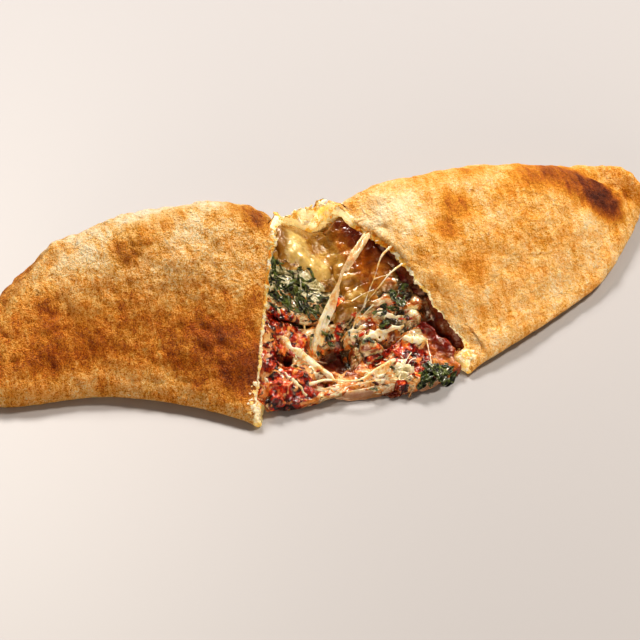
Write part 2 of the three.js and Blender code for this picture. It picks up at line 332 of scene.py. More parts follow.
class Graph:
    """The node graph of one material."""

    def __init__(self, name):
        self.material = bpy.data.materials.new(name)
        self.material.use_nodes = True
        self.tree = self.material.node_tree
        self.tree.nodes.clear()

    def node(self, kind, settings=None, sockets=None, output=0):
        made = self.tree.nodes.new(kind)
        for key, value in (settings or {}).items():
            if key == "stops":
                self.set_stops(made.color_ramp, value)
            else:
                setattr(made, key, value)
        for key, value in (sockets or {}).items():
            if isinstance(value, Wire):
                self.tree.links.new(value.socket, made.inputs[key])
            else:
                made.inputs[key].default_value = value
        return Wire(self, made.outputs[output]) if made.outputs else None

    @staticmethod
    def set_stops(ramp, stops):
        while len(ramp.elements) < len(stops):
            ramp.elements.new(1.0)
        for element, (position, colour) in zip(ramp.elements, stops):
            element.position = position
            element.color = (*colour, 1)

    @cached_property
    def place(self):
        """The place on the piece in millimetres, which the patterns are laid out on."""
        metres = self.node("ShaderNodeTexCoord", output="Object")
        return self.vector("SCALE", metres, scale=1 / MM)

    def vector(self, operation, first, second=(0, 0, 0), scale=1.0):
        sockets = {0: first, 1: second, 3: scale}
        return self.node("ShaderNodeVectorMath", {"operation": operation}, sockets)

    def noise(self, size, detail=3.0, roughness=0.55, distortion=0.0, place=None):
        """Noise whose features are about size across."""
        sockets = {
            "Vector": place or self.place,
            "Scale": 1 / size,
            "Detail": detail,
            "Roughness": roughness,
            "Distortion": distortion,
        }
        return self.node("ShaderNodeTexNoise", None, sockets)

    def streaks(self, steps, **settings):
        """Noise drawn out into streaks, by its steps for each millimetre along X, Y and Z."""
        return self.noise(1, place=self.vector("MULTIPLY", self.place, steps), **settings)

    def cells(self, size, feature="F1"):
        sockets = {"Vector": self.place, "Scale": 1 / size, "Randomness": 1.0}
        return self.node("ShaderNodeTexVoronoi", {"feature": feature}, sockets)

    def attribute(self, name):
        return self.node("ShaderNodeAttribute", {"attribute_name": name}, output="Fac")

    def ramp(self, factor, stops):
        return self.node("ShaderNodeValToRGB", {"stops": stops}, {"Fac": factor})

    def mix(self, factor, first, second, blend="MIX"):
        settings = {"data_type": "RGBA", "blend_type": blend}
        colours = [c if isinstance(c, Wire) else (*c, 1) for c in (first, second)]
        sockets = {0: factor, 6: colours[0], 7: colours[1]}
        return self.node("ShaderNodeMix", settings, sockets, output=2)

    def bump(self, height, distance, strength=1.0):
        sockets = {"Height": height, "Distance": distance, "Strength": strength}
        return self.node("ShaderNodeBump", None, sockets)

    def finish(self, **sockets):
        """Ends the graph in a Principled shader. Names of sockets have _ for a space."""
        named = {key.replace("_", " "): value for key, value in sockets.items()}
        shader = self.node("ShaderNodeBsdfPrincipled", None, named)
        self.node("ShaderNodeOutputMaterial", None, {"Surface": shader})
        return self.material


def tones(*rows):
    """Stops of a colour ramp, from rows of a place on it and a colour in steps of 0 to 255."""
    return tuple((place, srgb(*colour)) for place, *colour in rows)


def glaze(weight, roughness):
    """Sockets of a thin wet coat."""
    return {"Coat_Weight": weight, "Coat_Roughness": roughness}


def soak(weight, radius, scale):
    """Sockets that let light sink in, by a radius for each of red, green and blue."""
    return {
        "Subsurface_Weight": weight,
        "Subsurface_Radius": radius,
        "Subsurface_Scale": scale * MM,
    }


# ---- Settings ----


def length_property(name, description, default):
    return FloatProperty(name=name, description=description, default=default, unit="LENGTH")


def count_property(name, description, default, least=1):
    return IntProperty(name=name, description=description, default=default, min=least)


def colour_property(name, description, default):
    return FloatVectorProperty(
        name=name, description=description, default=default, subtype="COLOR"
    )


# ---- Crust ----

Patch = namedtuple("Patch", "place radius strength")  # place and radius in millimetres


def patches(*rows):
    """Patches from rows of a place, a radius and a strength."""
    return [Patch(row[:-2], *row[-2:]) for row in rows]


# Browned patches; the three small ones along the crease of the right tip's lobe paint its shade
TOAST_AND_CREASE_SHADE = patches(
    (-77, 11.3, 41.4, 7, 0.55), (-70, 14.6, 44.6, 8, 0.65), (-62, 17.5, 47, 8, 0.65),
    (-54, 21, 47.5, 7, 0.55), (-73.2, 13.6, 43.6, 1.5, 1.5), (-25, 10.7, 46.5, 8, 0.65),
    (-30, 16, 46.8, 7, 0.6), (94, 22, 34.5, 10, 0.45), (103.5, 19, 31.2, 10, 0.85),
    (112, 16, 27.5, 11, 1.0), (118, 12, 24, 10, 1.25), (123, 9, 20, 9, 1.25),
    (126, 7, 16, 6, 0.7), (92, 15, 35, 9, 0.5), (68, 20, 39, 7, 0.35), (79, 8, 36, 6, 0.4),
    (54, 2, 39, 7, 0.4), (48, -6, 36, 6, 0.4), (55, -22, 25, 7, 0.35), (121, 20.5, 17, 3, 0.4),
    (128, 20, 15, 3, 0.5), (134, 17.5, 12, 3, 0.4), (-114, -11, 13.6, 13, 0.15),
    (-84, -22, 7, 11, -0.15), (-102, -14, 6, 11, -0.15), (-52, -27, 22, 9, 0.38),
    (-98, -10, 19, 8, 0.2), (-42, -38, 12, 12, 0.5),
)
# Pale patches on the tops of the crust: flour, and painted sheen where light glances off the tops
FLOUR_AND_SHEEN = patches(
    (20, -2, 41, 13, 1.0), (30, 6, 43, 14, 0.9), (-92, 24, 38, 18, 1.1), (-60, 26, 44, 22, 1.5),
    (-40, 24, 46, 14, 1.3), (-44, 18, 46, 14, 0.5), (-112, 20, 27, 16, 0.7),
)
BLISTERS = patches(
    (-72, 14, 45, 7, 1.6), (39, -22, 27, 4, 0.8), (-60, -3, 42, 8, 1.4), (-84, 2, 38, 7, -1.2),
    (70, 17, 40, 7, 1.0), (96, 8, 33, 9, 1.0), (-98, 4, 32, 9, 1.3), (-45, -20, 32, 7, 1.0),
    (-58, -22, 26, 6, -0.9), (60, -10, 33, 8, 0.9), (-34, -26, 28, 6, 0.9),
)
DENTS = patches((-3, 19, 14, 6.5), (14, 2, 10, 5), (-17, 10, 8, 2.5))  # placed by x and y
Fold = namedtuple("Fold", "line width")  # a raised line of (x, y, rise), in millimetres

FOLDS = (
    Fold(((112, 31, 1), (122, 30, 4), (132, 30, 8), (138, 25, 8), (142, 19, 7)), 5),
    Fold(((114, 23, 0), (121, 21.5, -2), (130, 20.5, -3.2), (136, 17, -3.2), (140, 12, -1.5)), 3),
    Fold(((-94, 40, 1), (-99, 37, 3.2), (-103, 34, 3.6), (-106, 30, 1.5)), 3.5),
    Fold(((-97, 28, 1), (-102, 26, 3.6), (-108, 21, 2.8), (-116, 15, 2), (-121, 9, 1)), 3.5),
    Fold(
        ((-97, 22.5, -0.5), (-103, 20, -2.4), (-110, 15.5, -2), (-117, 10, -1.2), (-121, 5, 0)), 2
    ),
)
SKIN_TONES = tones(
    (0.00, 72, 22, 2), (0.16, 122, 54, 4), (0.32, 184, 106, 12), (0.48, 226, 156, 44),
    (0.64, 251, 204, 132), (0.80, 255, 232, 190), (1.00, 255, 245, 222),
)
BREAD_TONES = tones(
    (0.26, 236, 146, 36), (0.38, 253, 194, 84), (0.50, 255, 228, 150), (0.66, 255, 250, 232)
)
PLEAT_PITCH = 19 * MM
PLEAT_DEPTH = 1.9 * MM
UPRIGHT = 0.05  # greatest rise of the normal of an upright CAD face
WALL_SLACK = 0.05 * MM  # how far the middle of a CAD face may lie off the flat wall of a cut
ARC_SLACK = 0.4 * MM  # and off the round wall under the bridge
RIM_CRUMB = 0.62  # how much of the crumb's look the rims of the cuts and the bridge take


def patch_mask(points, patches, edge=2):
    """The strongest of several round patches at each point, sharper for a higher edge."""
    mask = np.zeros(len(points))
    for patch in patches:
        distance = np.linalg.norm(points - np.array(patch.place) * MM, axis=1)
        share = distance / (patch.radius * MM)
        value = patch.strength * np.exp(-(share**edge))
        mask = np.where(np.abs(value) > np.abs(mask), value, mask)
    return mask


def is_cut_face(face):
    """Tells whether a face of the CAD crust lies in the opening's walls."""
    if abs(face.normal.z) > UPRIGHT:
        return False
    plan = Plan(np.array(face.calc_center_median())[None])
    near_left = abs(plan.behind_left[0]) < WALL_SLACK
    near_right = abs(plan.behind_right[0]) < WALL_SLACK
    near_bridge = abs(plan.radius[0] - BRIDGE) < ARC_SLACK and 0 < plan.share[0] < 1
    return near_left or near_right or near_bridge


def outer_skin(crust):
    """A search tree over the skin that was outside before the calzone was cut."""
    mesh = bmesh.new()
    mesh.from_mesh(crust.data)
    mesh.faces.ensure_lookup_table()
    start = max(mesh.faces, key=lambda face: face.calc_center_median().x)
    found = {start}
    waiting = [start]
    while waiting:
        face = waiting.pop()
        for edge in face.edges:
            for other in edge.link_faces:
                if other not in found and not is_cut_face(other):
                    found.add(other)
                    waiting.append(other)
    corners = [vertex.co.copy() for vertex in mesh.verts]
    faces = [[vertex.index for vertex in face.verts] for face in found]
    tree = BVHTree.FromPolygons(corners, faces)
    mesh.free()
    return tree


def back_line(plan):
    """The depth of the hem's outer edge at each point, measured on the CAD crust."""
    cad = Plan(points_of(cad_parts["crust"]))
    step = 7 * MM
    depth = np.full(len(plan.depth), CUT_DEPTH - 1 * MM)
    for chosen, known in ((plan.in_left, cad.in_left), (plan.in_right, cad.in_right)):
        stations = np.arange(0, cad.behind[known].max(), step)
        edges = []
        for station in stations:
            near = known & (np.abs(cad.behind - station) < step)
            edges.append(cad.depth[near].max())
        depth[chosen] = np.interp(plan.behind[chosen], stations, edges)
    return depth


def flutter(points, size, seed):
    """A value from -1 to 1 at each point, smooth over the given size."""
    shift = Vector((seed * 7.3, seed * 3.1, seed * 5.7))
    return np.array([noise.noise(Vector(point) / size + shift) for point in points])


def crimp_hem(points, normals):
    """Presses rounded pleats into the hem."""
    plan = Plan(points)
    inside = back_line(plan) - plan.depth
    on_hem = 1 - smooth_step(0.9 * HEM_WIDTH, 1.7 * HEM_WIDTH, inside)
    on_hem *= 1 - smooth_step(10 * MM, 16 * MM, points[:, 2])
    on_hem *= (inside < 2 * HEM_WIDTH) & (plan.depth > 40 * MM)
    uneven = 3 * MM * np.sin(points[:, 0] / 0.017)
    along = np.where(plan.in_left, -plan.behind, plan.behind) + uneven
    notch = 1 - np.abs(np.sin(math.pi * along / PLEAT_PITCH)) ** 0.7
    return points - normals * (on_hem * notch * PLEAT_DEPTH)[:, None]


def shape_dough(points):
    """Raises rounded folds along their lines and lets the dough sink at the dents."""
    moved = points.copy()
    for dent in DENTS:
        distance = np.linalg.norm(points[:, :2] - np.array(dent.place) * MM, axis=1)
        share = np.exp(-((distance / (dent.radius * MM)) ** 2))
        moved[:, 2] -= dent.strength * MM * share * smooth_step(18 * MM, 30 * MM, points[:, 2])
    for fold in FOLDS:
        line = np.array(fold.line) * MM
        best = np.full(len(points), np.inf)
        rise = np.zeros(len(points))
        for start, end in zip(line[:-1], line[1:]):
            span = (end - start)[:2]
            share = np.clip((points[:, :2] - start[:2]) @ span / (span @ span), 0, 1)
            distance = np.linalg.norm(points[:, :2] - start[:2] - share[:, None] * span, axis=1)
            nearer = distance < best
            best[nearer] = distance[nearer]
            rise[nearer] = (start[2] + share * (end[2] - start[2]))[nearer]
        on_top = smooth_step(1.5 * MM, 7 * MM, points[:, 2])
        moved[:, 2] += rise * np.exp(-((best / (fold.width * MM)) ** 2)) * on_top
    return moved


def skin_share(depth):
    """1 on the outer skin and 0 below it."""
    return 1 - smooth_step(0.4 * MM, 1.2 * MM, depth)


def roughen_dough(crust, plan, depth, undulation):
    """Gives the skin its swells and wrinkles, and the torn edges their grain."""
    height = points_of(crust)[:, 2]
    upper = smooth_step(1 * MM, 7 * MM, height)
    on_skin = skin_share(depth)
    at_bridge = smooth_step(20 * MM, 25 * MM, plan.radius)
    at_bridge = at_bridge - smooth_step(30 * MM, 38 * MM, plan.radius)
    at_bridge *= upper * (height > 20 * MM)
    groups = {
        "skin": on_skin * upper,
        "left_skin": on_skin * upper * plan.in_left,
        "bread": (1 - on_skin) * (1 - smooth_step(0, 3 * MM, plan.behind)),
        "torn": at_bridge * (plan.behind < 4 * MM),
    }
    for name, weights in groups.items():
        set_group(crust, name, weights)
    roughen(crust, "CLOUDS", 34 * MM, undulation, "skin")
    roughen(crust, "CLOUDS", 11 * MM, 2.1 * MM, "skin", noise_depth=2)
    roughen(crust, "CLOUDS", 4.5 * MM, 1.3 * MM, "skin", noise_depth=2)
    roughen(crust, "CLOUDS", 6 * MM, 1.1 * MM, "left_skin", noise_depth=2, noise_type="HARD_NOISE")
    roughen(crust, "CLOUDS", 2.6 * MM, 1.6 * MM, "bread", noise_type="HARD_NOISE")
    roughen(crust, "DISTORTED_NOISE", 3.6 * MM, 1.7 * MM, "torn", distortion=1.2)


def swell_dough(points, normals, plan, depth):
    """Puffs up the blisters and the left half, and slims the front of the right tip."""
    puff = 1.2 * plan.in_left + 2.2 * smooth_step(92 * MM, 132 * MM, -points[:, 0])
    puff = patch_mask(points, BLISTERS) + puff
    moved = points + normals * (puff * skin_share(depth) * MM)[:, None]
    at_tip = smooth_step(104 * MM, 140 * MM, moved[:, 0])
    moved[:, 1] += 8 * MM * (at_tip * (1 - smooth_step(4 * MM, 34 * MM, plan.depth)))
    return moved


def tear_rims(points, moved, depth):
    """Draws the skin back from the two cuts and frays their edges."""
    plan = Plan(points)
    skin = 1 - smooth_step(0, 4 * MM, depth)
    upper = smooth_step(2 * MM, 8 * MM, points[:, 2])
    low = smooth_step(34 * MM, 64 * MM, plan.radius)
    low = low + 0.9 * smooth_step(84 * MM, 98 * MM, plan.radius)
    # For each cut: the distance behind it, the way into its half, and how far the skin draws back,
    # draws back more towards the front, and frays
    cuts = (
        (plan.behind_right, RIGHT_OUT, 1.6 * MM, 4.0 * MM, 1.5 * MM),
        (plan.behind_left, LEFT_OUT, 1.0 * MM, 0.6 * MM, 1.0 * MM),
    )
    for seed, (behind, out, back, more, fray) in enumerate(cuts):
        near = np.flatnonzero((behind > -3 * MM) & (behind < 14 * MM) & (plan.radius > 20 * MM))
        fall = 1 - smooth_step(0, 13 * MM, np.maximum(behind[near], 0))
        wave = flutter(points[near], 7 * MM, seed + 1)
        wave = wave + 0.5 * flutter(points[near], 2.5 * MM, seed + 9)
        pull = skin[near] * (back + more * low[near]) + (0.4 + 0.6 * skin[near]) * fray * wave
        moved[near, :2] += (fall * upper[near] * pull)[:, None] * out


def tear_bridge(points, moved, depth):
    """Draws the skin back from the edge of the bridge and leaves it ragged."""
    plan = Plan(points)
    in_reach = (plan.share > -0.1) & (plan.share < 1.1) & (np.abs(plan.radius - BRIDGE) < 9 * MM)
    near = np.flatnonzero(in_reach & (points[:, 2] > 12 * MM))
    fall = 1 - smooth_step(0, 10 * MM, np.abs(plan.radius[near] - BRIDGE))
    skin = 1 - smooth_step(0, 12 * MM, depth[near])
    wave = flutter(points[near], 6 * MM, 4) + 0.5 * flutter(points[near], 2.8 * MM, 5)
    shift = fall * MM * ((0.8 + 2.2 * (1 - skin)) * wave - BRIDGE_PULL * skin)
    inward = (points[near, :2] - SWING_AXIS) / plan.radius[near, None]
    moved[near, :2] += shift[:, None] * inward
    ragged = flutter(points[near], 4 * MM, 6) + 0.6 * flutter(points[near], 2.4 * MM, 7)
    moved[near, 2] += fall * MM * (0.3 + 0.9 * (1 - skin)) * ragged


def mark_crust(crust, points, normals, depth):
    """Stores on the crust where each look of its material lies."""
    plan = Plan(points)
    height = points[:, 2]
    near_bridge = (plan.share > -0.12) & (plan.share < 1.1) & (plan.radius < 36 * MM)
    near_bridge = near_bridge & (height > 25 * MM)
    crumb = smooth_step(0.7 * MM, 1.6 * MM, depth)
    under = near_bridge * smooth_step(14 * MM, 24 * MM, plan.radius)
    from_cut = plan.behind - 1.2 * MM * plan.in_left
    rim = (1 - smooth_step(0.6 * MM, 2.6 * MM, from_cut)) * (plan.radius > 24 * MM)
    crumb = np.maximum(crumb, np.maximum(under, rim) * RIM_CRUMB)
    at_bridge = (1 - smooth_step(32 * MM, 40 * MM, plan.radius)) * near_bridge
    # low: darker at mid height on the front of the left half, partly browning and partly painted
    # shade
    low = smooth_step(2 * MM, 16 * MM, height) - smooth_step(24 * MM, 41 * MM, height)
    set_attributes(
        crust,
        crumb=crumb,
        coarse=plan.in_left,
        # pale airy crumb at the front, and at the bridge also the strength of the crumb's painted
        # glow
        airy=np.maximum(smooth_step(62 * MM, 80 * MM, plan.radius), 2 * at_bridge),
        # browning, and painted shade in the crease of the right tip
        toast=patch_mask(points, TOAST_AND_CREASE_SHADE, 3),
        # flour and painted sheen, only on faces turned up
        flour=patch_mask(points, FLOUR_AND_SHEEN) * smooth_step(0.6, 0.95, normals[:, 2]),
        low=low * (plan.depth < 55 * MM) * np.where(plan.in_left, 1, 0.1),
    )


def crust_material(settings):
    graph = Graph("baked_crust")
    fine = graph.noise(0.5, detail=2, roughness=0.6)
    grain = graph.noise(1.2, detail=3, roughness=0.7)
    mottle = graph.noise(8, detail=5, roughness=0.62)
    broad = graph.noise(34, detail=2)
    streaks = graph.streaks((0.36, 0.09, 0.09), detail=4, roughness=0.6)
    toast, flour = graph.attribute("toast"), graph.attribute("flour")
    crumb, airy = graph.attribute("crumb"), graph.attribute("airy")
    low = graph.attribute("low")
    coarse = 1 + 0.6 * graph.attribute("coarse")

    # The tone of the baked skin, from 0 for burnt to 1 for floury, where the pale end is partly
    # painted sheen on the tops
    blotches = (coarse - 0.5 * low) * (0.4 * (mottle - 0.5) + 0.5 * (streaks - 0.5))
    tone = 0.6 + 0.4 * (broad - 0.5) + blotches + 0.22 * flour - 0.16 * low
    tone = tone.at_most(0.6 + 0.3 * flour + 0.7 * (1.6 - coarse))
    tone = tone - toast * (0.36 + (0.4 + 0.5 * coarse) * (mottle - 0.42) + 0.5 * (grain - 0.45))
    calm = (0.3 + tone.clamped()) * (1 - 0.4 * flour)
    tone = tone + coarse * calm * (0.55 * (grain - 0.5) + 0.6 * (fine - 0.5))
    skin = graph.ramp(tone, SKIN_TONES)
    # the low band darkens the skin: partly browning, partly painted shade
    skin = graph.mix(low * 0.7, skin, srgb(255, 228, 152), "MULTIPLY")
    golden = graph.noise(6, detail=5, roughness=0.62, distortion=0.5).between(0.42, 0.62)
    skin = graph.mix(golden * 0.35, skin, srgb(255, 216, 160), "MULTIPLY")
    dust = graph.noise(0.9, detail=2, roughness=0.7)
    specks = (flour + 0.35 * (coarse - 1)) * dust.between(0.52, 0.62)
    skin = graph.mix(specks.clamped() * 0.25, skin, tuple(settings.flour_colour))
    pores = graph.cells(7).between(0.10, 0.04) * graph.noise(15).between(0.5, 0.6)
    skin = graph.mix(pores * 0.55, skin, srgb(96, 40, 12))

    # The crumb of the torn edges. Its glow is painted light: it emits a little light of its own,
    # most at the bridge and the airy front, in place of light coming through the crumb
    holes = graph.noise(1.6, detail=3, roughness=0.6)
    paleness = 0.4 * holes + 0.7 * mottle - 0.05 + 0.25 * airy.clamped() + 0.4 * (golden - 0.5)
    bread = graph.ramp(paleness, BREAD_TONES)
    torn = (crumb + 0.6 * (grain - 0.5)).between(0.35, 0.6)
    colour = graph.mix(torn, skin, bread)
    painted_glow_colour = graph.mix(1, bread, srgb(255, 220, 150), "MULTIPLY")
    painted_glow = graph.mix(torn * (0.12 + 0.42 * airy), (0, 0, 0), painted_glow_colour)
    wrinkles = graph.noise(3.2, detail=3, roughness=0.6, distortion=0.8)
    relief = coarse * (0.7 * grain + 0.2 * fine + 0.8 * mottle + 0.9 * wrinkles) + torn * holes
    return graph.finish(
        Base_Color=colour,
        Roughness=(0.72 - 0.12 * toast + 0.1 * (grain - 0.5)).clamped(),
        Normal=graph.bump(relief, 1.9 * MM),
        Specular_IOR_Level=0.35,
        # painted glow: the torn crumb emits light of its own
        Emission_Color=painted_glow,
        Emission_Strength=0.55,
        **soak(0.08, (1.0, 0.5, 0.2), 1.5),
    )


class CalzoneCrustSettings(bpy.types.PropertyGroup):
    voxel: length_property(
        "Grid", "Size of the grid that the crust's surface is rebuilt on", 1.09 * MM
    )
    undulation: length_property(
        "Undulation", "Height of the broad swells of the baked skin", 2.6 * MM
    )
    smoothing: count_property("Smoothing", "How often the rebuilt skin is smoothed", 45, 0)
    flour_colour: colour_property(
        "Flour", "Colour of the flour on top of the crust", srgb(255, 226, 166)
    )


class CALZONE_OT_crust(bpy.types.Operator):
    """Build the domed crust with its pleated hem and torn rims"""

    bl_idname = "calzone.crust"
    bl_label = "Crust"

    def execute(self, context):
        settings = context.scene.calzone_crust
        crust = copy_node("crust", "baked_crust")
        skin = outer_skin(crust)
        remesh(crust, settings.voxel)

        points = points_of(crust)
        depth = np.array([skin.find_nearest(Vector(point))[3] for point in points])
        plan = Plan(points)
        from_rim = np.maximum(plan.behind, np.maximum(BRIDGE - plan.radius, 0))
        set_group(crust, "smoothed", 0.1 + 0.9 * smooth_step(1 * MM, 6 * MM, from_rim))
        smooth(crust, settings.smoothing, "smoothed")
        roughen_dough(crust, plan, depth, settings.undulation)

        normals = normals_of(crust)
        points = swell_dough(points_of(crust), normals, plan, depth)
        points = crimp_hem(points, normals)
        points = shape_dough(points)
        moved = points.copy()
        tear_rims(points, moved, depth)
        tear_bridge(points, moved, depth)
        move_points(crust, moved)
        mark_crust(crust, moved, normals, depth)
        finish_piece(crust, crust_material(settings), "baked_crust", "crust")
        return {"FINISHED"}


# ---- Filling layers ----

Zone = namedtuple("Zone", "share radius width depth")  # an ellipse, in millimetres but for share


def zones(*rows):
    """Zones from rows of a share, a radius, a width and a depth."""
    return tuple(Zone(*row) for row in rows)


# Where the tomato, the cream, the spinach and the amber cheese lie in the opening
RED = zones(
    (0.11, 69, 9, 8), (0.05, 79, 6, 6), (0.12, 89, 12, 9), (0.68, 80, 9, 7), (0.80, 90, 7, 8),
    (0.66, 96.5, 4, 2.5), (0.80, 99.5, 5, 2.5), (0.55, 66, 6, 6), (0.57, 56, 4, 4),
    (1.01, 76, 4, 24),
)
CREAM = zones(
    (0.22, 61, 16, 7), (0.37, 65, 6, 6), (0.22, 79, 10, 3.5), (0.11, 89, 2.5, 3),
    (0.10, 99, 10, 2), (0.71, 93, 6, 6), (0.03, 92, 3, 7), (0.88, 82, 5, 4), (0.32, 90, 5, 5),
    (0.63, 69, 7, 3.5), (0.80, 70, 10, 5), (0.58, 91, 5, 4),
)
GREEN = zones(
    (0.25, 53, 11, 8), (0.08, 54, 9, 9), (0.34, 65, 6, 6), (0.85, 68, 6, 2), (0.87, 99, 8, 3),
    (0.64, 99.5, 6, 2),
)
AMBER = zones((0.98, 46, 11, 16), (0.75, 24, 8, 7), (0.90, 60, 12, 6))
# On the sheets of cheese: pale places, and places darkened with painted shade
HEART = zones((0.24, 37, 5, 8), (0.42, 44, 6, 5))
PITS = zones((0.7, 30, 7, 5), (0.42, 27, 4, 4), (0.02, 37, 4, 7), (0.25, 28, 9, 4))
# Deep places between the lumps, and the strip along the right cut under the crust's rim; the
# material darkens both with painted shade
HOLLOWS = zones(
    (0.45, 74, 8, 7), (0.30, 84, 3, 3), (0.72, 76, 4, 3), (0.10, 79, 3, 2.5), (1.06, 86, 4, 12),
    (0.62, 96, 4, 2.5),
)
DARK = HOLLOWS + zones((1.05, 66, 4.5, 32), (0.99, 89, 3.5, 8))
TOMATO_GROUND = RED[:-1]
RICOTTA_GROUND = GREEN[:3]
GREEN_EDGES = GREEN[3:]
LOOKS = {  # what the filling's material knows each ground by
    "red": RED,
    "cream": CREAM,
    "green": GREEN,
    "ricotta": RICOTTA_GROUND,
    "amber": AMBER,
    "dark": DARK,
}


def zone_mask(plan, ground, wander):
    """1 inside the zones of the ground and 0 outside, with a soft edge that wanders."""
    mask = np.zeros(len(plan.share))
    for zone in ground:
        sideways = (plan.share - zone.share) * OPENING_TURN * zone.radius / zone.width
        endways = (plan.radius / MM - zone.radius) / zone.depth
        distance = np.hypot(sideways, endways) + 0.35 * wander
        mask = np.maximum(mask, 1 - smooth_step(0.75, 1.2, distance))
    return mask


def bare_weight(piece):
    """1 where a layer lies bare in the opening, and 0 inside the crust and underneath."""
    points = points_of(piece)
    plan = Plan(points)
    weight = 1 - smooth_step(2 * MM, 9 * MM, plan.behind)
    weight *= smooth_step(18 * MM, 24 * MM, plan.radius)
    weight *= smooth_step(-0.5, 0.1, normals_of(piece)[:, 2])
    return weight * smooth_step(0.3 * MM, 2 * MM, points[:, 2])


def make_layer(node, grid):
    """A filling layer, rebuilt on an even grid that is divided twice where it lies bare."""
    layer = copy_node(node, f"{node}_surface")
    remesh(layer, grid)
    smooth(layer, 6)
    for _ in range(2):
        subdivide_where(layer, bare_weight(layer) > 0.01)
    smooth(layer, 4)
    points = points_of(layer)
    plan = Plan(points)
    wander = flutter(points, 9 * MM, 11) + 0.5 * flutter(points, 3.5 * MM, 12)
    masks = {name: zone_mask(plan, ground, wander) for name, ground in LOOKS.items()}
    set_attributes(layer, **masks)
    bare = bare_weight(layer)
    set_group(layer, "bare", bare)
    set_group(layer, "lumpy", bare * np.maximum(zone_mask(plan, TOMATO_GROUND, wander), 0.35))
    points[:, 2] -= 5 * MM * bare * zone_mask(plan, HOLLOWS, wander)
    points[:, 2] = np.maximum(points[:, 2], 1 * MM)
    move_points(layer, points)
    return layer


RED_TONES = tones(
    (0.24, 36, 6, 2), (0.38, 116, 18, 2), (0.50, 184, 40, 4), (0.62, 224, 94, 16),
    (0.76, 246, 176, 88),
)
RICOTTA_TONES = tones((0.28, 104, 98, 56), (0.43, 196, 188, 142), (0.58, 244, 240, 212))
SMEAR_TONES = tones((0.30, 190, 84, 20), (0.48, 234, 160, 84), (0.65, 250, 222, 176))
MIXED_TONES = tones(
    (0.28, 88, 28, 2), (0.42, 162, 74, 16), (0.55, 214, 136, 56), (0.72, 248, 214, 152)
)
CREAM_TONES = tones((0.28, 150, 130, 80), (0.45, 216, 202, 156), (0.62, 250, 244, 220))
PALE_TONES = tones(
    (0.25, 96, 60, 10), (0.42, 156, 108, 34), (0.58, 202, 160, 80), (0.76, 242, 224, 168)
)
AMBER_TONES = tones((0.28, 100, 44, 0), (0.48, 162, 88, 8), (0.70, 220, 156, 58))
GREEN_TONES = tones((0.36, 10, 12, 3), (0.50, 30, 38, 10), (0.66, 96, 112, 30))
SHADED_SAUCE = srgb(98, 16, 3)


def filling_material(name, base_tones, leaf_share, settings):
    """The mixed filling. The zones' attributes bring the other fillings over the base."""
    graph = Graph(name)
    pulp = graph.noise(3.0, detail=5, roughness=0.65, distortion=0.6)
    cloud = graph.noise(7.5, detail=4, roughness=0.6, distortion=0.4)
    flesh = graph.noise(5.5, detail=4, roughness=0.55, distortion=1.1)
    fine = graph.noise(0.8, detail=3)
    threads = graph.streaks((0.22, 0.5, 0.5), detail=4, distortion=1.4)
    shards = graph.streaks((0.34, 0.62, 0.5), detail=4, roughness=0.6, distortion=0.8)
    dark = graph.attribute("dark")

    def over(below, mask, above):
        edge = (graph.attribute(mask) + 0.9 * (pulp - 0.5)).between(0.36, 0.62)
        return graph.mix(edge, below, above)

    redness = 1.6 * (flesh - 0.5) + 0.42 + 0.4 * (fine - 0.5) + 0.4 * (pulp - 0.5)
    smears = graph.noise(7.5, detail=4, roughness=0.5, distortion=1.6).between(0.55, 0.60)
    red = graph.mix(smears * 0.7, graph.ramp(redness, RED_TONES), graph.ramp(pulp, SMEAR_TONES))
    mixed = graph.ramp(pulp + 0.5 * (threads - 0.5), MIXED_TONES)
    cream = graph.ramp(cloud + 0.5 * (pulp - 0.5), CREAM_TONES)
    cream = graph.mix((threads + 0.2 * pulp).between(0.5, 0.7), cream, mixed)
    amber = graph.ramp(cloud + 0.25 * (pulp - 0.5), AMBER_TONES)
    ricotta = graph.ramp(cloud + 0.5 * (fine - 0.5) + 0.3 * (threads - 0.5), RICOTTA_TONES)

    colour = graph.ramp(cloud + 0.4 * (pulp - 0.5), base_tones)
    for mask, above in (("amber", amber), ("ricotta", ricotta), ("cream", cream), ("red", red)):
        colour = over(colour, mask, above)
    leaves = 0.5 * graph.attribute("green") + leaf_share + 1.6 * (shards - 0.5)
    leaves = leaves.between(0.38, 0.5)
    colour = graph.mix(leaves, colour, graph.ramp(pulp, GREEN_TONES))
    colour = graph.mix(threads.between(0.66, 0.72) * 0.6, colour, srgb(246, 220, 176))
    # painted shade in the hollows and along the right cut
    colour = graph.mix(dark * 0.85, colour, SHADED_SAUCE)
    char = graph.noise(2.4, detail=3, roughness=0.6, distortion=0.8).between(0.60, 0.65)
    colour = graph.mix(char * 0.8, colour, tuple(settings.char_colour))
    return graph.finish(
        Base_Color=colour,
        Roughness=0.12 + 0.3 * graph.noise(2.5).between(0.4, 0.8),
        Normal=graph.bump(pulp + 0.25 * fine + 0.5 * leaves + 0.6 * flesh, 1.2 * MM, 0.5),
        **soak(0.1, (1.0, 0.4, 0.1), 1.5),
        **glaze(0.5 - 0.4 * dark, 0.06),
    )


class CalzoneFillingSettings(bpy.types.PropertyGroup):
    grid: length_property(
        "Grid", "Size of the grid that the layers' surfaces are rebuilt on", 1.5 * MM
    )
    relief: length_property("Relief", "Height of the lumps of tomato that lie bare", 6 * MM)
    char_colour: colour_property(
        "Dark specks", "Colour of the darkest specks of the filling", srgb(34, 26, 6)
    )


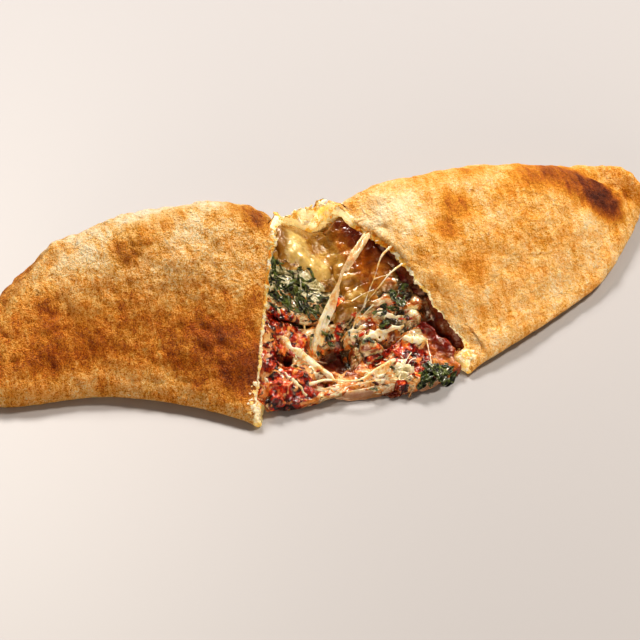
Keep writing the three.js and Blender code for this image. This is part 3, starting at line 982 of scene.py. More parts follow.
class CALZONE_OT_filling(bpy.types.Operator):
    """Build the three layers of the filling"""

    bl_idname = "calzone.filling"
    bl_label = "Filling layers"

    def execute(self, context):
        settings = context.scene.calzone_filling
        tomato = make_layer("tomato_filling", settings.grid)
        roughen(tomato, "CLOUDS", 9 * MM, settings.relief, "bare", noise_depth=2)
        roughen(tomato, "CLOUDS", 5 * MM, 2.6 * MM, "lumpy", noise_depth=1)
        roughen(tomato, "DISTORTED_NOISE", 7 * MM, 0.7 * MM, "lumpy", distortion=1.0)
        material = filling_material("tomato", MIXED_TONES, -0.22, settings)
        finish_piece(tomato, material, "tomato", "tomato_filling")

        spinach = make_layer("spinach_ricotta", settings.grid)
        roughen(spinach, "CLOUDS", 6 * MM, 3.0 * MM, "bare", noise_depth=2)
        roughen(spinach, "CLOUDS", 2 * MM, 0.7 * MM, "lumpy", noise_depth=3)
        material = filling_material("spinach_ricotta", CREAM_TONES, -0.1, settings)
        finish_piece(spinach, material, "spinach_ricotta", "spinach_ricotta")

        cheese = make_layer("mozzarella", settings.grid)
        roughen(cheese, "CLOUDS", 9 * MM, 2.8 * MM, "bare")
        roughen(cheese, "CLOUDS", 3.5 * MM, 0.8 * MM, "bare", noise_depth=1)
        material = filling_material("melted_mozzarella", PALE_TONES, -0.5, settings)
        finish_piece(cheese, material, "melted_cheese", "mozzarella")
        return {"FINISHED"}


# ---- Loose pieces of the filling ----

LAYERS = ("tomato_filling_surface", "spinach_ricotta_surface", "mozzarella_surface")
DROP_HEIGHT = 0.2  # well above the calzone
LEAST_GROUND = 1.5 * MM  # nothing is laid where the ground is lower
OPEN_GROUND = zones((0.5, 78, 30, 16))
LARGE_CURDS = zones((0.715, 91.5, 2.5, 1.5))
RIGHT_LEAVES = zones((0.86, 98.5, 7, 2.5))
GLOSSY_LEAVES = zones((0.76, 69, 15, 9))
DOWN_SLOPE = math.radians(-58)  # heading of the leaves in the ricotta


def surface_tree(names):
    """A search tree over the named pieces, whose meshes hold their places."""
    corners, faces = [], []
    for name in names:
        mesh = bpy.data.objects[name].data
        first = len(corners)
        corners += [vertex.co.copy() for vertex in mesh.vertices]
        faces += [[first + corner for corner in face.vertices] for face in mesh.polygons]
    return BVHTree.FromPolygons(corners, faces)


def drop(tree, x, y):
    """Where a thing let fall at x, y comes to lie, and the slope there."""
    start = Vector((x, y, DROP_HEIGHT))
    place, normal, _, _ = tree.ray_cast(start, Vector((0, 0, -1)))
    return (place, normal) if place else (Vector((x, y, 0)), Vector((0, 0, 1)))


def scatter(tree, models, ground, count, sizes, sink, tilt, chance, heading=0, stray=math.pi):
    """Lays copies of the models on the ground, each sunk into it by a share of its height.

    sizes are the least and the greatest in millimetres, and a copy leans by up to tilt and turns
    away from the heading by up to stray.
    """
    copies = []
    areas = [zone.width * zone.depth for zone in ground]
    while len(copies) < count:
        zone = chance.choices(ground, areas)[0]
        angle = chance.uniform(0, 2 * math.pi)
        reach = math.sqrt(chance.random())
        share = zone.share + reach * math.cos(angle) * zone.width / zone.radius / OPENING_TURN
        radius = (zone.radius + reach * math.sin(angle) * zone.depth) * MM
        spot = opening_place(share, radius)
        place, normal = drop(tree, spot.x, spot.y)
        if place.z < LEAST_GROUND:
            continue
        size = chance.uniform(*sizes) * MM
        model = chance.choice(models)
        copy = model.copy()
        copy.data = model.data.copy()
        bpy.context.scene.collection.objects.link(copy)
        turn = Matrix.Rotation(heading + chance.uniform(-stray, stray), 4, "Z")
        lean = Matrix.Rotation(chance.uniform(-tilt, tilt), 4, "X")
        stand = normal.to_track_quat("Z", "Y").to_matrix().to_4x4()
        lift = (0.5 - sink) * size * model.dimensions.z
        breadth = size * chance.uniform(0.5, 1.1)
        height = size * chance.uniform(0.5, 1)
        move = Matrix.Translation(place + normal * lift)
        scale = Matrix.Diagonal((size, breadth, height, 1))
        copy.matrix_world = move @ stand @ lean @ turn @ scale
        set_attributes(copy, tint=np.full(len(copy.data.vertices), chance.random()))
        copies.append(copy)
    return copies


def make_lump(name, detail, size, strength, shift, flatness=0.75):
    """An uneven lump about one unit across. The shift picks its place in the texture."""
    deselect_all()
    bpy.ops.mesh.primitive_ico_sphere_add(subdivisions=detail, radius=0.5, location=(shift, 0, 0))
    lump = bpy.context.object
    lump.name = name
    bpy.ops.object.transform_apply(location=True)
    roughen(lump, "CLOUDS", size, strength, noise_depth=2)
    points = points_of(lump) - np.array((shift, 0, 0))
    points[:, 2] *= flatness
    move_points(lump, points)
    return lump


def make_shred(name, shift):
    """A torn, stringy bit about one unit long."""
    shred = make_lump(name, 3, 0.3, 0.75, shift)
    points = points_of(shred)
    points[:, 1] *= 0.5
    points[:, 2] *= 0.6
    points[:, 2] += 0.25 * points[:, 0] ** 2
    move_points(shred, points)
    return shred


def make_leaf(name, shift, breadth=0.56):
    """A limp, crumpled leaf about one unit long."""
    leaf = add_grid(12, 8)
    leaf.name = name
    points = points_of(leaf)
    along = points[:, 0] * 2
    edge = 1 + 0.35 * flutter(points + shift, 0.3, 21)
    points[:, 1] *= breadth * np.sqrt(np.maximum(1.02 - along**2, 0.02)) * edge
    crumple = 0.11 * flutter(points + shift, 0.16, 22)
    points[:, 2] = crumple + 0.2 * flutter(points + shift, 0.5, 23)
    points[:, 2] += 0.06 * np.cos(points[:, 1] * 24) - 0.3 * points[:, 0] ** 2
    points[:, 1] += 0.16 * np.sin(points[:, 0] * 4 + shift)
    move_points(leaf, points)
    apply_modifier(leaf, "SOLIDIFY", thickness=0.05, offset=0)
    apply_modifier(leaf, "SUBSURF", levels=1, render_levels=1)
    return leaf


def remove(pieces):
    for piece in pieces:
        bpy.data.objects.remove(piece)


def tomato_chunk_material():
    graph = Graph("tomato_chunk")
    pulp = graph.noise(3.5, detail=5, roughness=0.65, distortion=0.5)
    fine = graph.noise(0.6, detail=3)
    redness = pulp + 0.35 * (fine - 0.5) + 0.5 * (graph.attribute("tint") - 0.5)
    return graph.finish(
        Base_Color=graph.ramp(redness, RED_TONES),
        Roughness=0.2 + 0.3 * fine,
        Normal=graph.bump(pulp + 0.35 * fine, 0.8 * MM, 0.6),
        **soak(0.05, (1.0, 0.2, 0.08), 1),
        **glaze(0.25, 0.12),
    )


def leaf_material(settings):
    graph = Graph("spinach_leaf")
    cloud = graph.noise(2.8, detail=4, roughness=0.6)
    veins = graph.cells(2.4, "DISTANCE_TO_EDGE").between(0.09, 0.02)
    green = graph.ramp(cloud, GREEN_TONES)
    return graph.finish(
        Base_Color=graph.mix(veins * 0.5, green, tuple(settings.vein_colour)),
        Roughness=0.22 + 0.3 * cloud,
        Normal=graph.bump(cloud - 0.5 * veins, 0.6 * MM, 0.6),
        **glaze(0.5, 0.08),
    )


def curd_material():
    graph = Graph("ricotta_curd")
    cloud = graph.noise(2.5, detail=4, roughness=0.6)
    fine = graph.noise(0.6, detail=2)
    return graph.finish(
        Base_Color=graph.ramp(cloud + 0.3 * (fine - 0.5), CREAM_TONES),
        Roughness=0.25 + 0.3 * fine,
        Normal=graph.bump(cloud + 0.4 * fine, 0.6 * MM, 0.5),
        **soak(0.3, (1.0, 0.8, 0.5), 2),
        **glaze(0.3, 0.1),
    )


class CalzoneChunkSettings(bpy.types.PropertyGroup):
    shred_count: count_property(
        "Tomato shreds", "How many shreds of tomato lie all over the filling", 40
    )
    curd_count: count_property("Curds", "How many small ricotta curds lie on the filling", 36)
    leaf_count: count_property(
        "Spinach strips", "How many strips of spinach lie in the ricotta", 34
    )
    vein_colour: colour_property(
        "Veins", "Colour of the veins of the spinach leaves", srgb(120, 140, 66)
    )


class CALZONE_OT_chunks(bpy.types.Operator):
    """Scatter tomato chunks, ricotta curds and spinach leaves over the filling"""

    bl_idname = "calzone.chunks"
    bl_label = "Chunks, curds and leaves"

    def execute(self, context):
        settings = context.scene.calzone_chunks
        tree = surface_tree((*LAYERS, "cheese_sheet"))
        chance = random.Random(5)
        lumps = [make_lump(f"lump_{k}", 3, 0.3, 0.85, 3.0 * k, 0.6) for k in range(4)]
        shreds = [make_shred(f"shred_{k}", 3.0 * k + 20) for k in range(5)]

        def lay(models, ground, count, sizes, sink, tilt, *way):
            return scatter(tree, models, ground, count, sizes, sink, tilt, chance, *way)

        chunks = lay(lumps, TOMATO_GROUND, 9, (3, 6.5), 0.8, 0.4)
        chunks += lay(shreds, TOMATO_GROUND, 26, (2, 6), 0.65, 0.4)
        chunks += lay(shreds, OPEN_GROUND, settings.shred_count, (0.8, 3), 0.5, 0.5)
        finish_piece(join(chunks, "tomato_chunks"), tomato_chunk_material(), "tomato")

        curds = lay(shreds, OPEN_GROUND + CREAM, settings.curd_count, (1.0, 3), 0.5, 0.4)
        curds += lay(lumps, RICOTTA_GROUND, 16, (2, 5), 0.8, 0.3)
        curds += lay(lumps, LARGE_CURDS, 3, (7, 9), 0.7, 0.1)
        finish_piece(join(curds, "ricotta_curds"), curd_material(), "spinach_ricotta")

        whole = [make_leaf(f"leaf_{k}", 2.7 * k) for k in range(4)]
        strips = [make_leaf(f"strip_{k}", 2.7 * k + 40, 0.28) for k in range(4)]
        count = settings.leaf_count
        leaves = lay(strips, RICOTTA_GROUND, count, (4, 10), 0.3, 0.2, DOWN_SLOPE, 0.4)
        leaves += lay(whole, RICOTTA_GROUND, 14, (4, 8), 0.4, 0.2, DOWN_SLOPE, 0.5)
        leaves += lay(whole, GREEN_EDGES, 6, (4, 9), 0.35, 0.3)
        leaves += lay(whole, RIGHT_LEAVES, 18, (5, 9), 0.4, 0.2, 0.2, 0.5)
        leaves += lay(whole, GLOSSY_LEAVES, 16, (1.5, 5.5), 0.3, 0.3, 0, 0.5)
        leaves += lay(whole, OPEN_GROUND, 16, (1.5, 4), 0.2, 0.5)
        finish_piece(join(leaves, "spinach_leaves"), leaf_material(settings), "spinach_ricotta")
        remove(lumps + shreds + whole + strips)
        return {"FINISHED"}


# ---- Torn crumb ----

BRIDGE_TOP = zones((0.5, 24, 15, 4), (0.2, 26, 7, 3), (0.85, 26, 8, 3))
RIGHT_RIM = tuple(Zone(1.03, 36 + 7 * k, 0.8 + 0.3 * k, 4) for k in range(9))
LEFT_RIM = tuple(Zone(-0.015, 33 + 7 * k, 1.2, 4) for k in range(10))
LEFT_FOOT = zones((-0.03, 97, 2.5, 6))
RIGHT_FOOT = zones((1.06, 97, 2, 4))
CRUMB_TONES = tones(
    (0.22, 238, 152, 44), (0.36, 252, 196, 96), (0.50, 255, 232, 168), (0.66, 255, 249, 230)
)


def crumb_material():
    graph = Graph("torn_crumb")
    cloud = graph.noise(4, detail=5, roughness=0.65)
    fine = graph.noise(0.7, detail=3)
    paleness = cloud + 0.3 * (fine - 0.5) + 0.35 * (graph.attribute("tint") - 0.42)
    colour = graph.ramp(paleness, CRUMB_TONES)
    return graph.finish(
        Base_Color=colour,
        # painted glow: the crumb emits a faint light of its own
        Emission_Color=graph.mix(1, colour, srgb(255, 206, 120), "MULTIPLY"),
        Emission_Strength=0.1,
        Roughness=0.6 + 0.2 * fine,
        Normal=graph.bump(cloud + 0.6 * fine, 0.8 * MM, 0.7),
        **soak(0.2, (1.0, 0.6, 0.3), 1.5),
    )


class CalzoneCrumbSettings(bpy.types.PropertyGroup):
    bridge_count: count_property(
        "Flakes on the bridge", "How many flakes stand on the dough between the halves", 110
    )
    rim_count: count_property("Flakes on a rim", "How many flakes stand on each cut rim", 100)
    flake_size: length_property(
        "Flake size", "Greatest length of a flake on the bridge", 3.1 * MM
    )


class CALZONE_OT_crumb(bpy.types.Operator):
    """Fray the torn edges of the crust with lumps and flakes of crumb"""

    bl_idname = "calzone.crumb"
    bl_label = "Torn crumb"

    def execute(self, context):
        settings = context.scene.calzone_crumb
        tree = surface_tree(("baked_crust",))
        chance = random.Random(8)
        sizes = (1.2, settings.flake_size / MM)
        lumps = [make_lump(f"crumb_{k}", 3, 0.3, 0.9, 3.0 * k + 50, 0.7) for k in range(4)]
        shreds = [make_shred(f"fray_{k}", 3.0 * k + 70) for k in range(4)]
        rim = settings.rim_count
        bits = scatter(tree, shreds, BRIDGE_TOP, settings.bridge_count, sizes, 0.6, 0.3, chance)
        bits += scatter(tree, lumps, BRIDGE_TOP, 12, (2.5, 5), 0.85, 0.3, chance)
        bits += scatter(tree, shreds, RIGHT_RIM, rim, (0.6, 1.8), 0.6, 0.6, chance)
        bits += scatter(tree, shreds, LEFT_RIM, rim, (0.6, 1.8), 0.55, 0.7, chance)
        bits += scatter(tree, lumps, LEFT_FOOT, 40, (0.8, 2.2), 0.7, 0.4, chance)
        bits += scatter(tree, lumps, RIGHT_FOOT, 22, (1.0, 2.6), 0.6, 0.4, chance)
        finish_piece(join(bits, "torn_crumb"), crumb_material(), "baked_crust")
        remove(lumps + shreds)
        return {"FINISHED"}


# ---- Pulled cheese ----

Strand = namedtuple("Strand", "points radii")  # in millimetres

STRANDS = (
    Strand(
        ((22, 2, 33.5), (18, 0, 35), (15, -3.5, 35.8), (12.4, -8, 35), (7.9, -10.9, 33.5),
         (4.3, -12.2, 31.5), (1, -15.9, 27), (-3, -18.5, 22), (-8, -22.7, 17), (-12, -27, 12),
         (-14, -30, 6)),
        (0.7, 0.7, 0.7, 0.8, 0.8, 0.7, 0.7, 0.8, 0.9, 1.1, 1.4),
    ),
    Strand(
        ((25, -9, 34.6), (21.5, -11, 34), (18.6, -13, 33), (15.7, -17.2, 29), (12.4, -20.1, 25),
         (9.4, -21.9, 19), (8, -23.5, 13)),
        (0.5, 0.5, 0.4, 0.3, 0.28, 0.4, 0.9),
    ),
    Strand(
        ((27, -16, 30.6), (23, -18, 30), (19.8, -19.6, 29.4), (14.8, -22.5, 26), (9.4, -24.2, 22),
         (3.3, -27, 14), (2, -28, 9)),
        (0.5, 0.45, 0.34, 0.26, 0.26, 0.4, 0.8),
    ),
    Strand(
        ((-26, -44, 3), (-19.4, -47.8, 7.6), (-14.5, -47.5, 8.4), (-7.8, -51.9, 9.2),
         (-1.2, -52.8, 9), (4.9, -49.9, 10), (10.8, -48.1, 10.5), (15, -44, 7.5), (18, -41, 2)),
        (2.0, 0.8, 0.5, 0.45, 0.5, 0.6, 0.8, 1.2, 1.8),
    ),
    Strand(
        ((-20, -49, 1), (-15.5, -50.9, 5), (-8, -52.6, 7), (-0.3, -53.7, 8), (5, -53.5, 8),
         (11, -51, 4)),
        (1.0, 0.4, 0.3, 0.3, 0.4, 1.0),
    ),
)
Web = namedtuple("Web", "first second thickness")  # between two lines of points, in millimetres

WEBS = (
    Web(
        STRANDS[0].points[6:10],
        ((1, -16.4, 24), (-2, -20.5, 18), (-6.5, -24.5, 13.5), (-10, -29, 8)),
        0.9,
    ),
    Web(
        ((20, 0.5, 35), (16.4, -3.8, 35.3), (11, -9.8, 34.5), (5.1, -14.2, 31)),
        ((16.5, 1, 35), (12.6, -3.2, 34.8), (8, -7.8, 34), (4, -12.6, 31.5)),
        1.0,
    ),
    Web(STRANDS[3].points[5:8], ((5, -52, 8), (9.5, -50.5, 7), (14, -46.5, 4)), 0.7),
    Web(
        ((-12, -50, 3), (-7, -52, 4), (0, -53, 4.5), (6, -52.5, 4.5), (12, -50, 3)),
        ((-12, -51, 1), (-6, -54, 0.5), (0, -55, 0.5), (6, -55, 0.5), (13, -51, 1)),
        0.6,
    ),
)
Band = namedtuple("Band", "line width")  # line of (share, radius), in millimetres but for share

BANDS = (
    Band(((0.08, 71), (0.14, 72.5), (0.20, 74), (0.27, 76.5), (0.33, 80), (0.38, 85)), 3.4),
    Band(((0.10, 85), (0.16, 88), (0.22, 91)), 1.6),
    Band(((0.82, 80), (0.88, 82), (0.93, 84)), 4),
    Band(((0.70, 98.5), (0.79, 99), (0.88, 99), (0.94, 98)), 1.3),
    Band(((0.66, 71.5), (0.76, 73.5), (0.86, 77)), 2.2),
    Band(((0.49, 67), (0.58, 67), (0.66, 69)), 2.2),
    Band(((0.72, 68), (0.82, 70), (0.90, 73)), 2.0),
    Band(((0.60, 74), (0.68, 73), (0.74, 75)), 2.2),
)
BAND_ROWS = 36
SHEET_POINTS = 90  # along each side of a sheet's grid
CHEESE_TONES = tones(
    (0.30, 232, 160, 80), (0.42, 250, 212, 150), (0.50, 255, 238, 204), (0.70, 255, 250, 236)
)


def make_strand(strand):
    """A round strand along a smooth curve, thicker or thinner at each of its points."""
    curve = bpy.data.curves.new("strand", "CURVE")
    curve.dimensions = "3D"
    curve.bevel_depth = 1 * MM
    curve.bevel_resolution = 4
    curve.resolution_u = 8
    curve.use_fill_caps = True
    spline = curve.splines.new("NURBS")
    spline.points.add(len(strand.points) - 1)
    for point, place, radius in zip(spline.points, strand.points, strand.radii):
        point.co = (*(Vector(place) * MM), 1)
        point.radius = radius
    spline.use_endpoint_u = True
    spline.order_u = 3
    piece = bpy.data.objects.new("strand", curve)
    bpy.context.scene.collection.objects.link(piece)
    make_active(piece)
    bpy.ops.object.convert(target="MESH")
    return bpy.context.object


def make_web(first, second, thickness):
    """A thin curtain of cheese that hangs between two lines of points."""
    web = add_grid(24, 8)
    points = points_of(web)
    along, aside = points[:, 0] + 0.5, points[:, 1] + 0.5
    start, end = [along_line(np.array(line) * MM, along) for line in (first, second)]
    surface = start + (end - start) * aside[:, None]
    surface[:, 2] -= 1.5 * MM * np.sin(math.pi * aside)
    move_points(web, surface)
    apply_modifier(web, "SOLIDIFY", thickness=thickness * MM, offset=0)
    return web


def make_band(tree, band, seed):
    """A flat smear of melted cheese that lies along a line on the filling."""
    smear = add_grid(BAND_ROWS, 8)
    points = points_of(smear)
    along, aside = points[:, 0] + 0.5, points[:, 1] * 2
    corners = np.array([opening_place(share, radius * MM) for share, radius in band.line])
    centre = along_line(corners, along)[:, :2]
    heading = (corners[-1] - corners[0])[:2]
    normal = np.array((-heading[1], heading[0])) / np.linalg.norm(heading)
    taper = np.sqrt(np.sin(math.pi * np.clip(along, 0.02, 0.98)))
    waves = np.array([noise.noise(Vector((6 * share, seed, 0))) for share in along])
    width = band.width * MM * (0.6 + 0.5 * waves) * taper
    points[:, :2] = centre + (aside * width + 1.2 * MM * waves)[:, None] * normal
    heights = np.array([drop(tree, point[0], point[1])[0].z for point in points])
    stations = np.linspace(0, 1, BAND_ROWS)
    means = np.array([heights[np.abs(along - station) < 0.06].mean() for station in stations])
    points[:, 2] = 0.5 * heights + 0.5 * np.interp(along, stations, means)
    points[:, 2] += MM * (0.4 + 0.2 * band.width - 1.3 * aside**2)
    move_points(smear, points)
    apply_modifier(smear, "SOLIDIFY", thickness=0.9 * MM, offset=-1)
    return smear


def level(heights, rounds):
    """Evens out a grid of heights by the mean of each one's four neighbours."""
    for _ in range(rounds):
        padded = np.pad(heights, 1, mode="edge")
        heights = (padded[:-2, 1:-1] + padded[2:, 1:-1] + padded[1:-1, :-2] + padded[1:-1, 2:]) / 4
    return heights


def make_sheet(tree, shares, radii, thickness, seed, folds):
    """Melted cheese lying over the filling, with a wandering edge that sinks into it.

    The folds run along X, are rounded above and meet in creases, and have the given height.
    """
    sheet = add_grid(SHEET_POINTS, SHEET_POINTS)
    points = points_of(sheet)
    sideways, endways = points[:, 0] + 0.5, points[:, 1] + 0.5
    share = shares[0] + (shares[1] - shares[0]) * sideways
    radius = radii[0] + (radii[1] - radii[0]) * endways
    for index in range(len(points)):
        spot = opening_place(share[index], radius[index] * MM)
        points[index] = drop(tree, spot.x, spot.y)[0]
    order = np.lexsort((np.round(sideways, 4), np.round(endways, 4)))
    heights = points[order, 2].reshape(SHEET_POINTS, SHEET_POINTS)
    points[order, 2] = level(heights, 30).ravel()
    edge = np.minimum(np.minimum(sideways, 1 - sideways), np.minimum(endways, 1 - endways))
    edge = edge + 0.10 * flutter(points, 7 * MM, seed) + 0.05 * flutter(points, 3 * MM, seed + 1)
    rise = smooth_step(0.0, 0.16, edge)
    crest = np.abs(flutter(points * np.array((0.32, 1, 1)), 4 * MM, seed + 2)) ** 0.7
    crest = crest + 0.3 * flutter(points, 3 * MM, seed + 3)
    set_attributes(sheet, crest=crest)
    points[:, 2] += (4 * rise - 3.2) * MM + rise * folds * crest
    plan = Plan(points)
    hump = 1 - smooth_step(25 * MM, 46 * MM, plan.radius)
    points[:, 2] += 4 * MM * (hump * (1 - smooth_step(0.1, 0.8, plan.share)))
    points[:, 2] = np.maximum(points[:, 2], 1 * MM)
    move_points(sheet, points)
    apply_modifier(sheet, "SOLIDIFY", thickness=thickness, offset=-1)
    return sheet


def make_threads(tree, count, chance):
    """Hair-thin threads of cheese that span from lump to lump."""
    threads = []
    while len(threads) < count:
        share, radius = chance.uniform(-0.02, 1.0), chance.uniform(52, 97)
        angle, reach = chance.gauss(0.9, 0.5), chance.uniform(5, 15)
        start = opening_place(share, radius * MM)
        end = start + Vector((math.cos(angle), math.sin(angle), 0)) * reach * MM
        corners = []
        for step in (0, 0.35, 0.7, 1):
            spot = start.lerp(end, step)
            corners.append(drop(tree, spot.x, spot.y)[0])
        if min(corner.z for corner in corners) < 1 * MM:
            continue
        lift = chance.uniform(0.2, 0.8) * MM
        corners[1].z = max(corners[1].z, corners[0].lerp(corners[3], 0.35).z) + lift
        corners[2].z = max(corners[2].z, corners[0].lerp(corners[3], 0.7).z) + lift
        radii = [chance.uniform(0.25, 0.5), 0.14, 0.14, chance.uniform(0.25, 0.5)]
        threads.append(make_strand(Strand([corner / MM for corner in corners], radii)))
    return threads


def melted_cheese_material(settings):
    graph = Graph("pulled_cheese")
    cloud = graph.noise(5, detail=4, roughness=0.6, distortion=0.8)
    fine = graph.noise(1.2, detail=3)
    amber = graph.attribute("amber")
    colour = graph.ramp(cloud + 0.3 * (fine - 0.5), CHEESE_TONES)
    # darker, olive-golden near the bridge: painted shade under the bridge
    near_bridge = (amber + 0.5 * (cloud - 0.5)).between(0.3, 0.8)
    colour = graph.mix(near_bridge * 0.5, colour, graph.ramp(cloud, PALE_TONES))
    height = graph.node("ShaderNodeSeparateXYZ", None, {"Vector": graph.place}, output=2)
    colour = graph.mix(height.between(5.5, 2) * (0.5 + 0.6 * cloud), colour, srgb(150, 88, 36))
    stain = graph.noise(3, detail=4, roughness=0.7, distortion=0.8).between(0.5, 0.66)
    stained = stain * (0.2 + 0.5 * amber)
    colour = graph.mix(stained.clamped(), colour, tuple(settings.stain_colour))
    return graph.finish(
        Base_Color=colour,
        Roughness=0.15 + 0.25 * fine,
        Normal=graph.bump(cloud + 0.3 * fine, 0.8 * MM, 0.4),
        **soak(0.5, (1.0, 0.7, 0.4), 2),
        **glaze(0.5, 0.06),
    )


def cheese_sheet_material(settings):
    graph = Graph("cheese_sheet")
    cloud = graph.noise(8, detail=4, roughness=0.6, distortion=0.8)
    pulp = graph.noise(4.2, detail=3, roughness=0.5, distortion=0.9)
    fine = graph.noise(0.9, detail=3)
    creases = graph.streaks((0.13, 0.36, 0.3), detail=4, roughness=0.6, distortion=0.8)
    front, amber = graph.attribute("front"), graph.attribute("amber")
    shade, dark = graph.attribute("shade"), graph.attribute("dark")
    red = graph.ramp(pulp, RED_TONES)

    # The sheets at the back, pale at the left and amber at the right
    pale_tone = graph.ramp(cloud + 0.35 * (pulp - 0.5), PALE_TONES)
    amber_tone = graph.ramp(cloud + 0.25 * (pulp - 0.5), AMBER_TONES)
    colour = graph.mix((amber + 0.4 * (cloud - 0.5)).between(0.4, 0.7), pale_tone, amber_tone)

    # The folded sheet at the front, marbled with cream and red, and darkened between its folds
    # with painted shade
    stained = graph.ramp(pulp + 0.5 * (cloud - 0.5), MIXED_TONES)
    marbled = graph.mix(creases.between(0.44, 0.60), stained, graph.ramp(pulp, CREAM_TONES))
    marbled = graph.mix(creases.between(0.60, 0.64), marbled, red)
    crease_shade = (graph.attribute("crest") + 0.5 * (fine - 0.5)).between(0.46, 0.2)
    marbled = graph.mix(crease_shade, marbled, tuple(settings.crease_shade_colour))
    colour = graph.mix((front + 0.8 * (pulp - 0.5)).between(0.3, 0.7), colour, marbled)

    sauce = graph.noise(7, detail=4, roughness=0.55, distortion=1.0).between(0.56, 0.62)
    colour = graph.mix(sauce * (0.1 + 0.6 * front), colour, red)
    curds = graph.noise(4, detail=4, roughness=0.6, distortion=0.6).between(0.56, 0.66)
    colour = graph.mix(curds * (0.7 - 0.7 * amber), colour, srgb(255, 236, 184))
    olive = graph.noise(6, detail=3, distortion=0.6).between(0.5, 0.66)
    colour = graph.mix(olive * 0.6, colour, srgb(150, 104, 22))
    heart = (graph.attribute("heart") + 0.8 * (pulp - 0.5)).between(0.1, 1.1)
    colour = graph.mix(heart * 0.45, colour, srgb(246, 224, 150))
    # painted shade under the bridge and in the pits
    colour = graph.mix(shade * 0.7, colour, srgb(128, 82, 8))
    # painted shade along the right cut and in the hollows
    colour = graph.mix(dark * 0.85, colour, SHADED_SAUCE)
    return graph.finish(
        Base_Color=colour,
        Roughness=0.14 + 0.2 * fine - 0.06 * front,
        Normal=graph.bump(cloud + 0.6 * pulp + 0.2 * fine + 0.4 * creases, 1.2 * MM, 0.6),
        **soak(0.3, (1.0, 0.6, 0.25), 2),
        **glaze(0.5 + 0.5 * front - 0.35 * shade, 0.04),
    )


class CalzonePulledCheeseSettings(bpy.types.PropertyGroup):
    voxel: length_property(
        "Grid", "Size of the grid that the strands and webs are fused on", 0.3 * MM
    )
    thread_count: count_property(
        "Threads", "How many hair-thin threads span from lump to lump", 9
    )
    stain_colour: colour_property(
        "Stain", "Colour of the oil and sauce that stain the strands", srgb(224, 132, 50)
    )


class CALZONE_OT_pulled_cheese(bpy.types.Operator):
    """Stretch strands and webs of melted cheese across the opening"""

    bl_idname = "calzone.pulled_cheese"
    bl_label = "Pulled cheese"

    def execute(self, context):
        settings = context.scene.calzone_pulled_cheese
        tree = surface_tree((*LAYERS, "cheese_sheet"))
        parts = [make_strand(strand) for strand in STRANDS]
        parts += [make_band(tree, band, 5.3 * k) for k, band in enumerate(BANDS)]
        parts += [make_web(*web) for web in WEBS]
        cheese = join(parts, "pulled_cheese")
        remesh(cheese, settings.voxel)
        smooth(cheese, 6)
        roughen(cheese, "CLOUDS", 4 * MM, 0.5 * MM)
        roughen(cheese, "CLOUDS", 1.4 * MM, 0.2 * MM)
        plan = Plan(points_of(cheese))
        # amber: near the bridge, where the strands are darkened with painted shade and stained
        # more
        set_attributes(cheese, amber=1 - smooth_step(44 * MM, 68 * MM, plan.radius))
        finish_piece(cheese, melted_cheese_material(settings), "melted_cheese")

        threads = make_threads(tree, settings.thread_count, random.Random(3))
        threads = join(threads, "cheese_threads")
        finish_piece(threads, melted_cheese_material(settings), "melted_cheese")
        return {"FINISHED"}


def mark_sheet(sheet, amber, front):
    """Stores on a sheet where each look of its material lies."""
    points = points_of(sheet)
    plan = Plan(points)
    dark_from = np.interp(plan.radius, (40 * MM, 60 * MM), (0.84, 1.0))
    at_back = 1 - smooth_step(20 * MM, 31 * MM, plan.radius)
    set_attributes(
        sheet,
        front=smooth_step(56 * MM, 67 * MM, plan.radius) * front,
        amber=amber * smooth_step(0.62, 0.9, plan.share),
        # painted shade where the sheets run in under the right cut's rim
        dark=np.clip((plan.share - dark_from) / 0.1, 0, 1),
        heart=zone_mask(plan, HEART, flutter(points, 6 * MM, 61)),
        shade=np.maximum(at_back, zone_mask(plan, PITS, 0)),
    )


class CalzoneSheetSettings(bpy.types.PropertyGroup):
    thickness: length_property("Thickness", "Thickness of the melted sheets", 1.2 * MM)
    fold_height: length_property(
        "Fold height", "Height of the folds of the sheet at the front", 3.4 * MM
    )
    # painted shade in the creases of the folded sheet
    crease_shade_colour: colour_property(
        "Creases", "Colour of what shows between the folds", srgb(46, 34, 8)
    )


class CALZONE_OT_sheets(bpy.types.Operator):
    """Drape sheets of melted cheese over the back and the right of the filling"""

    bl_idname = "calzone.sheets"
    bl_label = "Cheese sheets"

    def execute(self, context):
        settings = context.scene.calzone_sheets
        tree, thickness = surface_tree(LAYERS), settings.thickness
        sheets = [
            make_sheet(tree, (0.6, 1.1), (24, 66), thickness, 31, 1.0 * MM),
            make_sheet(tree, (-0.06, 0.84), (12, 46.5), thickness, 41, 1.0 * MM),
            make_sheet(tree, (0.48, 1.1), (56, 79), thickness, 51, settings.fold_height),
        ]
        for sheet, amber, front in zip(sheets, (1, 0, 0.5), (0.3, 0, 1)):
            mark_sheet(sheet, amber, front)
        sheet = join(sheets, "cheese_sheet")
        roughen(sheet, "CLOUDS", 3 * MM, 0.8 * MM, noise_depth=1)
        finish_piece(sheet, cheese_sheet_material(settings), "melted_cheese")
        return {"FINISHED"}


# ---- Stage ----

CAMERA_TARGET = Vector((-3.5, -5.6, 0)) * MM
CAMERA_DISTANCE = 1.19
CAMERA_ELEVATION = math.radians(42)
CAMERA_AZIMUTH = math.radians(-17.2)  # to the left of straight in front
SENSOR = 36.0
LENS = 168.7
FLOOR_SIZE = 6
LIGHT_TARGET = Vector((0, 0, 0.02))
LIGHTS = (  # name, place, size, power in watts and colour
    ("key", (0.78, 0.12, 0.92), 0.2, 11.4, srgb(255, 244, 226)),
    ("back", (-0.1, 0.8, 0.9), 0.35, 12, srgb(255, 246, 234)),
    ("fill", (-0.5, -1.05, 0.36), 0.7, 5.2, srgb(255, 228, 194)),
)
WORLD_COLOUR = srgb(255, 246, 238)
WORLD_STRENGTH = 0.12


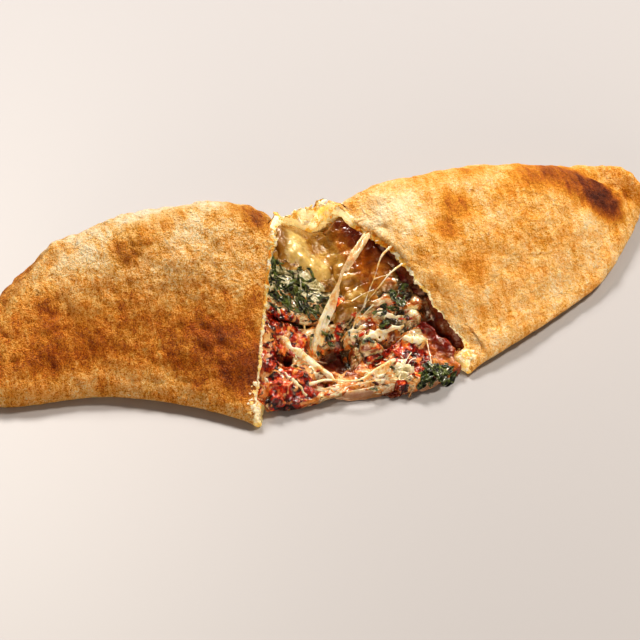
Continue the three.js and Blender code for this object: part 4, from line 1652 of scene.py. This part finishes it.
class CalzoneStageSettings(bpy.types.PropertyGroup):
    floor_colour: colour_property("Floor", "Colour of the floor", srgb(176, 176, 182))


def aim(holder, target):
    holder.rotation_euler = (target - holder.location).to_track_quat("-Z", "Y").to_euler()


def add_light(name, place, size, power, colour):
    bpy.ops.object.light_add(type="AREA", location=place)
    light = bpy.context.object
    light.name = name
    light.data.shape = "DISK"
    light.data.size = size
    light.data.energy = power
    light.data.color = colour
    aim(light, LIGHT_TARGET)


class CALZONE_OT_stage(bpy.types.Operator):
    """Set up the floor, the lights and the camera"""

    bl_idname = "calzone.stage"
    bl_label = "Stage"

    def execute(self, context):
        scene = context.scene
        deselect_all()
        bpy.ops.mesh.primitive_plane_add(size=FLOOR_SIZE)
        floor = context.object
        floor.name = "floor"
        colour = (*scene.calzone_stage.floor_colour, 1)
        floor.data.materials.append(Graph("floor").finish(Base_Color=colour, Roughness=0.45))

        toward = Vector((
            math.sin(CAMERA_AZIMUTH) * math.cos(CAMERA_ELEVATION),
            -math.cos(CAMERA_AZIMUTH) * math.cos(CAMERA_ELEVATION),
            math.sin(CAMERA_ELEVATION),
        ))
        bpy.ops.object.camera_add(location=CAMERA_TARGET + toward * CAMERA_DISTANCE)
        camera = context.object
        camera.data.sensor_width = SENSOR
        camera.data.lens = LENS
        aim(camera, CAMERA_TARGET)
        scene.camera = camera

        for light in LIGHTS:
            add_light(*light)
        world = bpy.data.worlds.new("studio")
        world.use_nodes = True
        background = world.node_tree.nodes["Background"]
        background.inputs["Color"].default_value = (*WORLD_COLOUR, 1)
        background.inputs["Strength"].default_value = WORLD_STRENGTH
        scene.world = world
        scene.view_settings.view_transform = "Standard"
        scene.view_settings.look = "Medium High Contrast"
        return {"FINISHED"}


# ---- Add-on ----


class CALZONE_PT_build(bpy.types.Panel):
    bl_label = "Calzone"
    bl_space_type = "VIEW_3D"
    bl_region_type = "UI"
    bl_category = "Calzone"

    def draw(self, context):
        for operator in OPERATORS:
            self.layout.operator(operator.bl_idname)


SETTINGS = {
    "calzone_crust": CalzoneCrustSettings,
    "calzone_filling": CalzoneFillingSettings,
    "calzone_sheets": CalzoneSheetSettings,
    "calzone_chunks": CalzoneChunkSettings,
    "calzone_crumb": CalzoneCrumbSettings,
    "calzone_pulled_cheese": CalzonePulledCheeseSettings,
    "calzone_stage": CalzoneStageSettings,
}
OPERATORS = (
    CALZONE_OT_stage,
    CALZONE_OT_crust,
    CALZONE_OT_filling,
    CALZONE_OT_sheets,
    CALZONE_OT_chunks,
    CALZONE_OT_crumb,
    CALZONE_OT_pulled_cheese,
)
CLASSES = (*SETTINGS.values(), *OPERATORS, CALZONE_PT_build)


def register():
    for cls in CLASSES:
        bpy.utils.register_class(cls)
    for name, cls in SETTINGS.items():
        setattr(bpy.types.Scene, name, PointerProperty(type=cls))


def unregister():
    for name in SETTINGS:
        delattr(bpy.types.Scene, name)
    for cls in reversed(CLASSES):
        bpy.utils.unregister_class(cls)


def main():
    register()
    bpy.ops.calzone.stage()
    bpy.ops.calzone.crust()
    bpy.ops.calzone.filling()
    bpy.ops.calzone.sheets()
    bpy.ops.calzone.chunks()
    bpy.ops.calzone.crumb()
    bpy.ops.calzone.pulled_cheese()


if __name__ == "__main__":
    main()
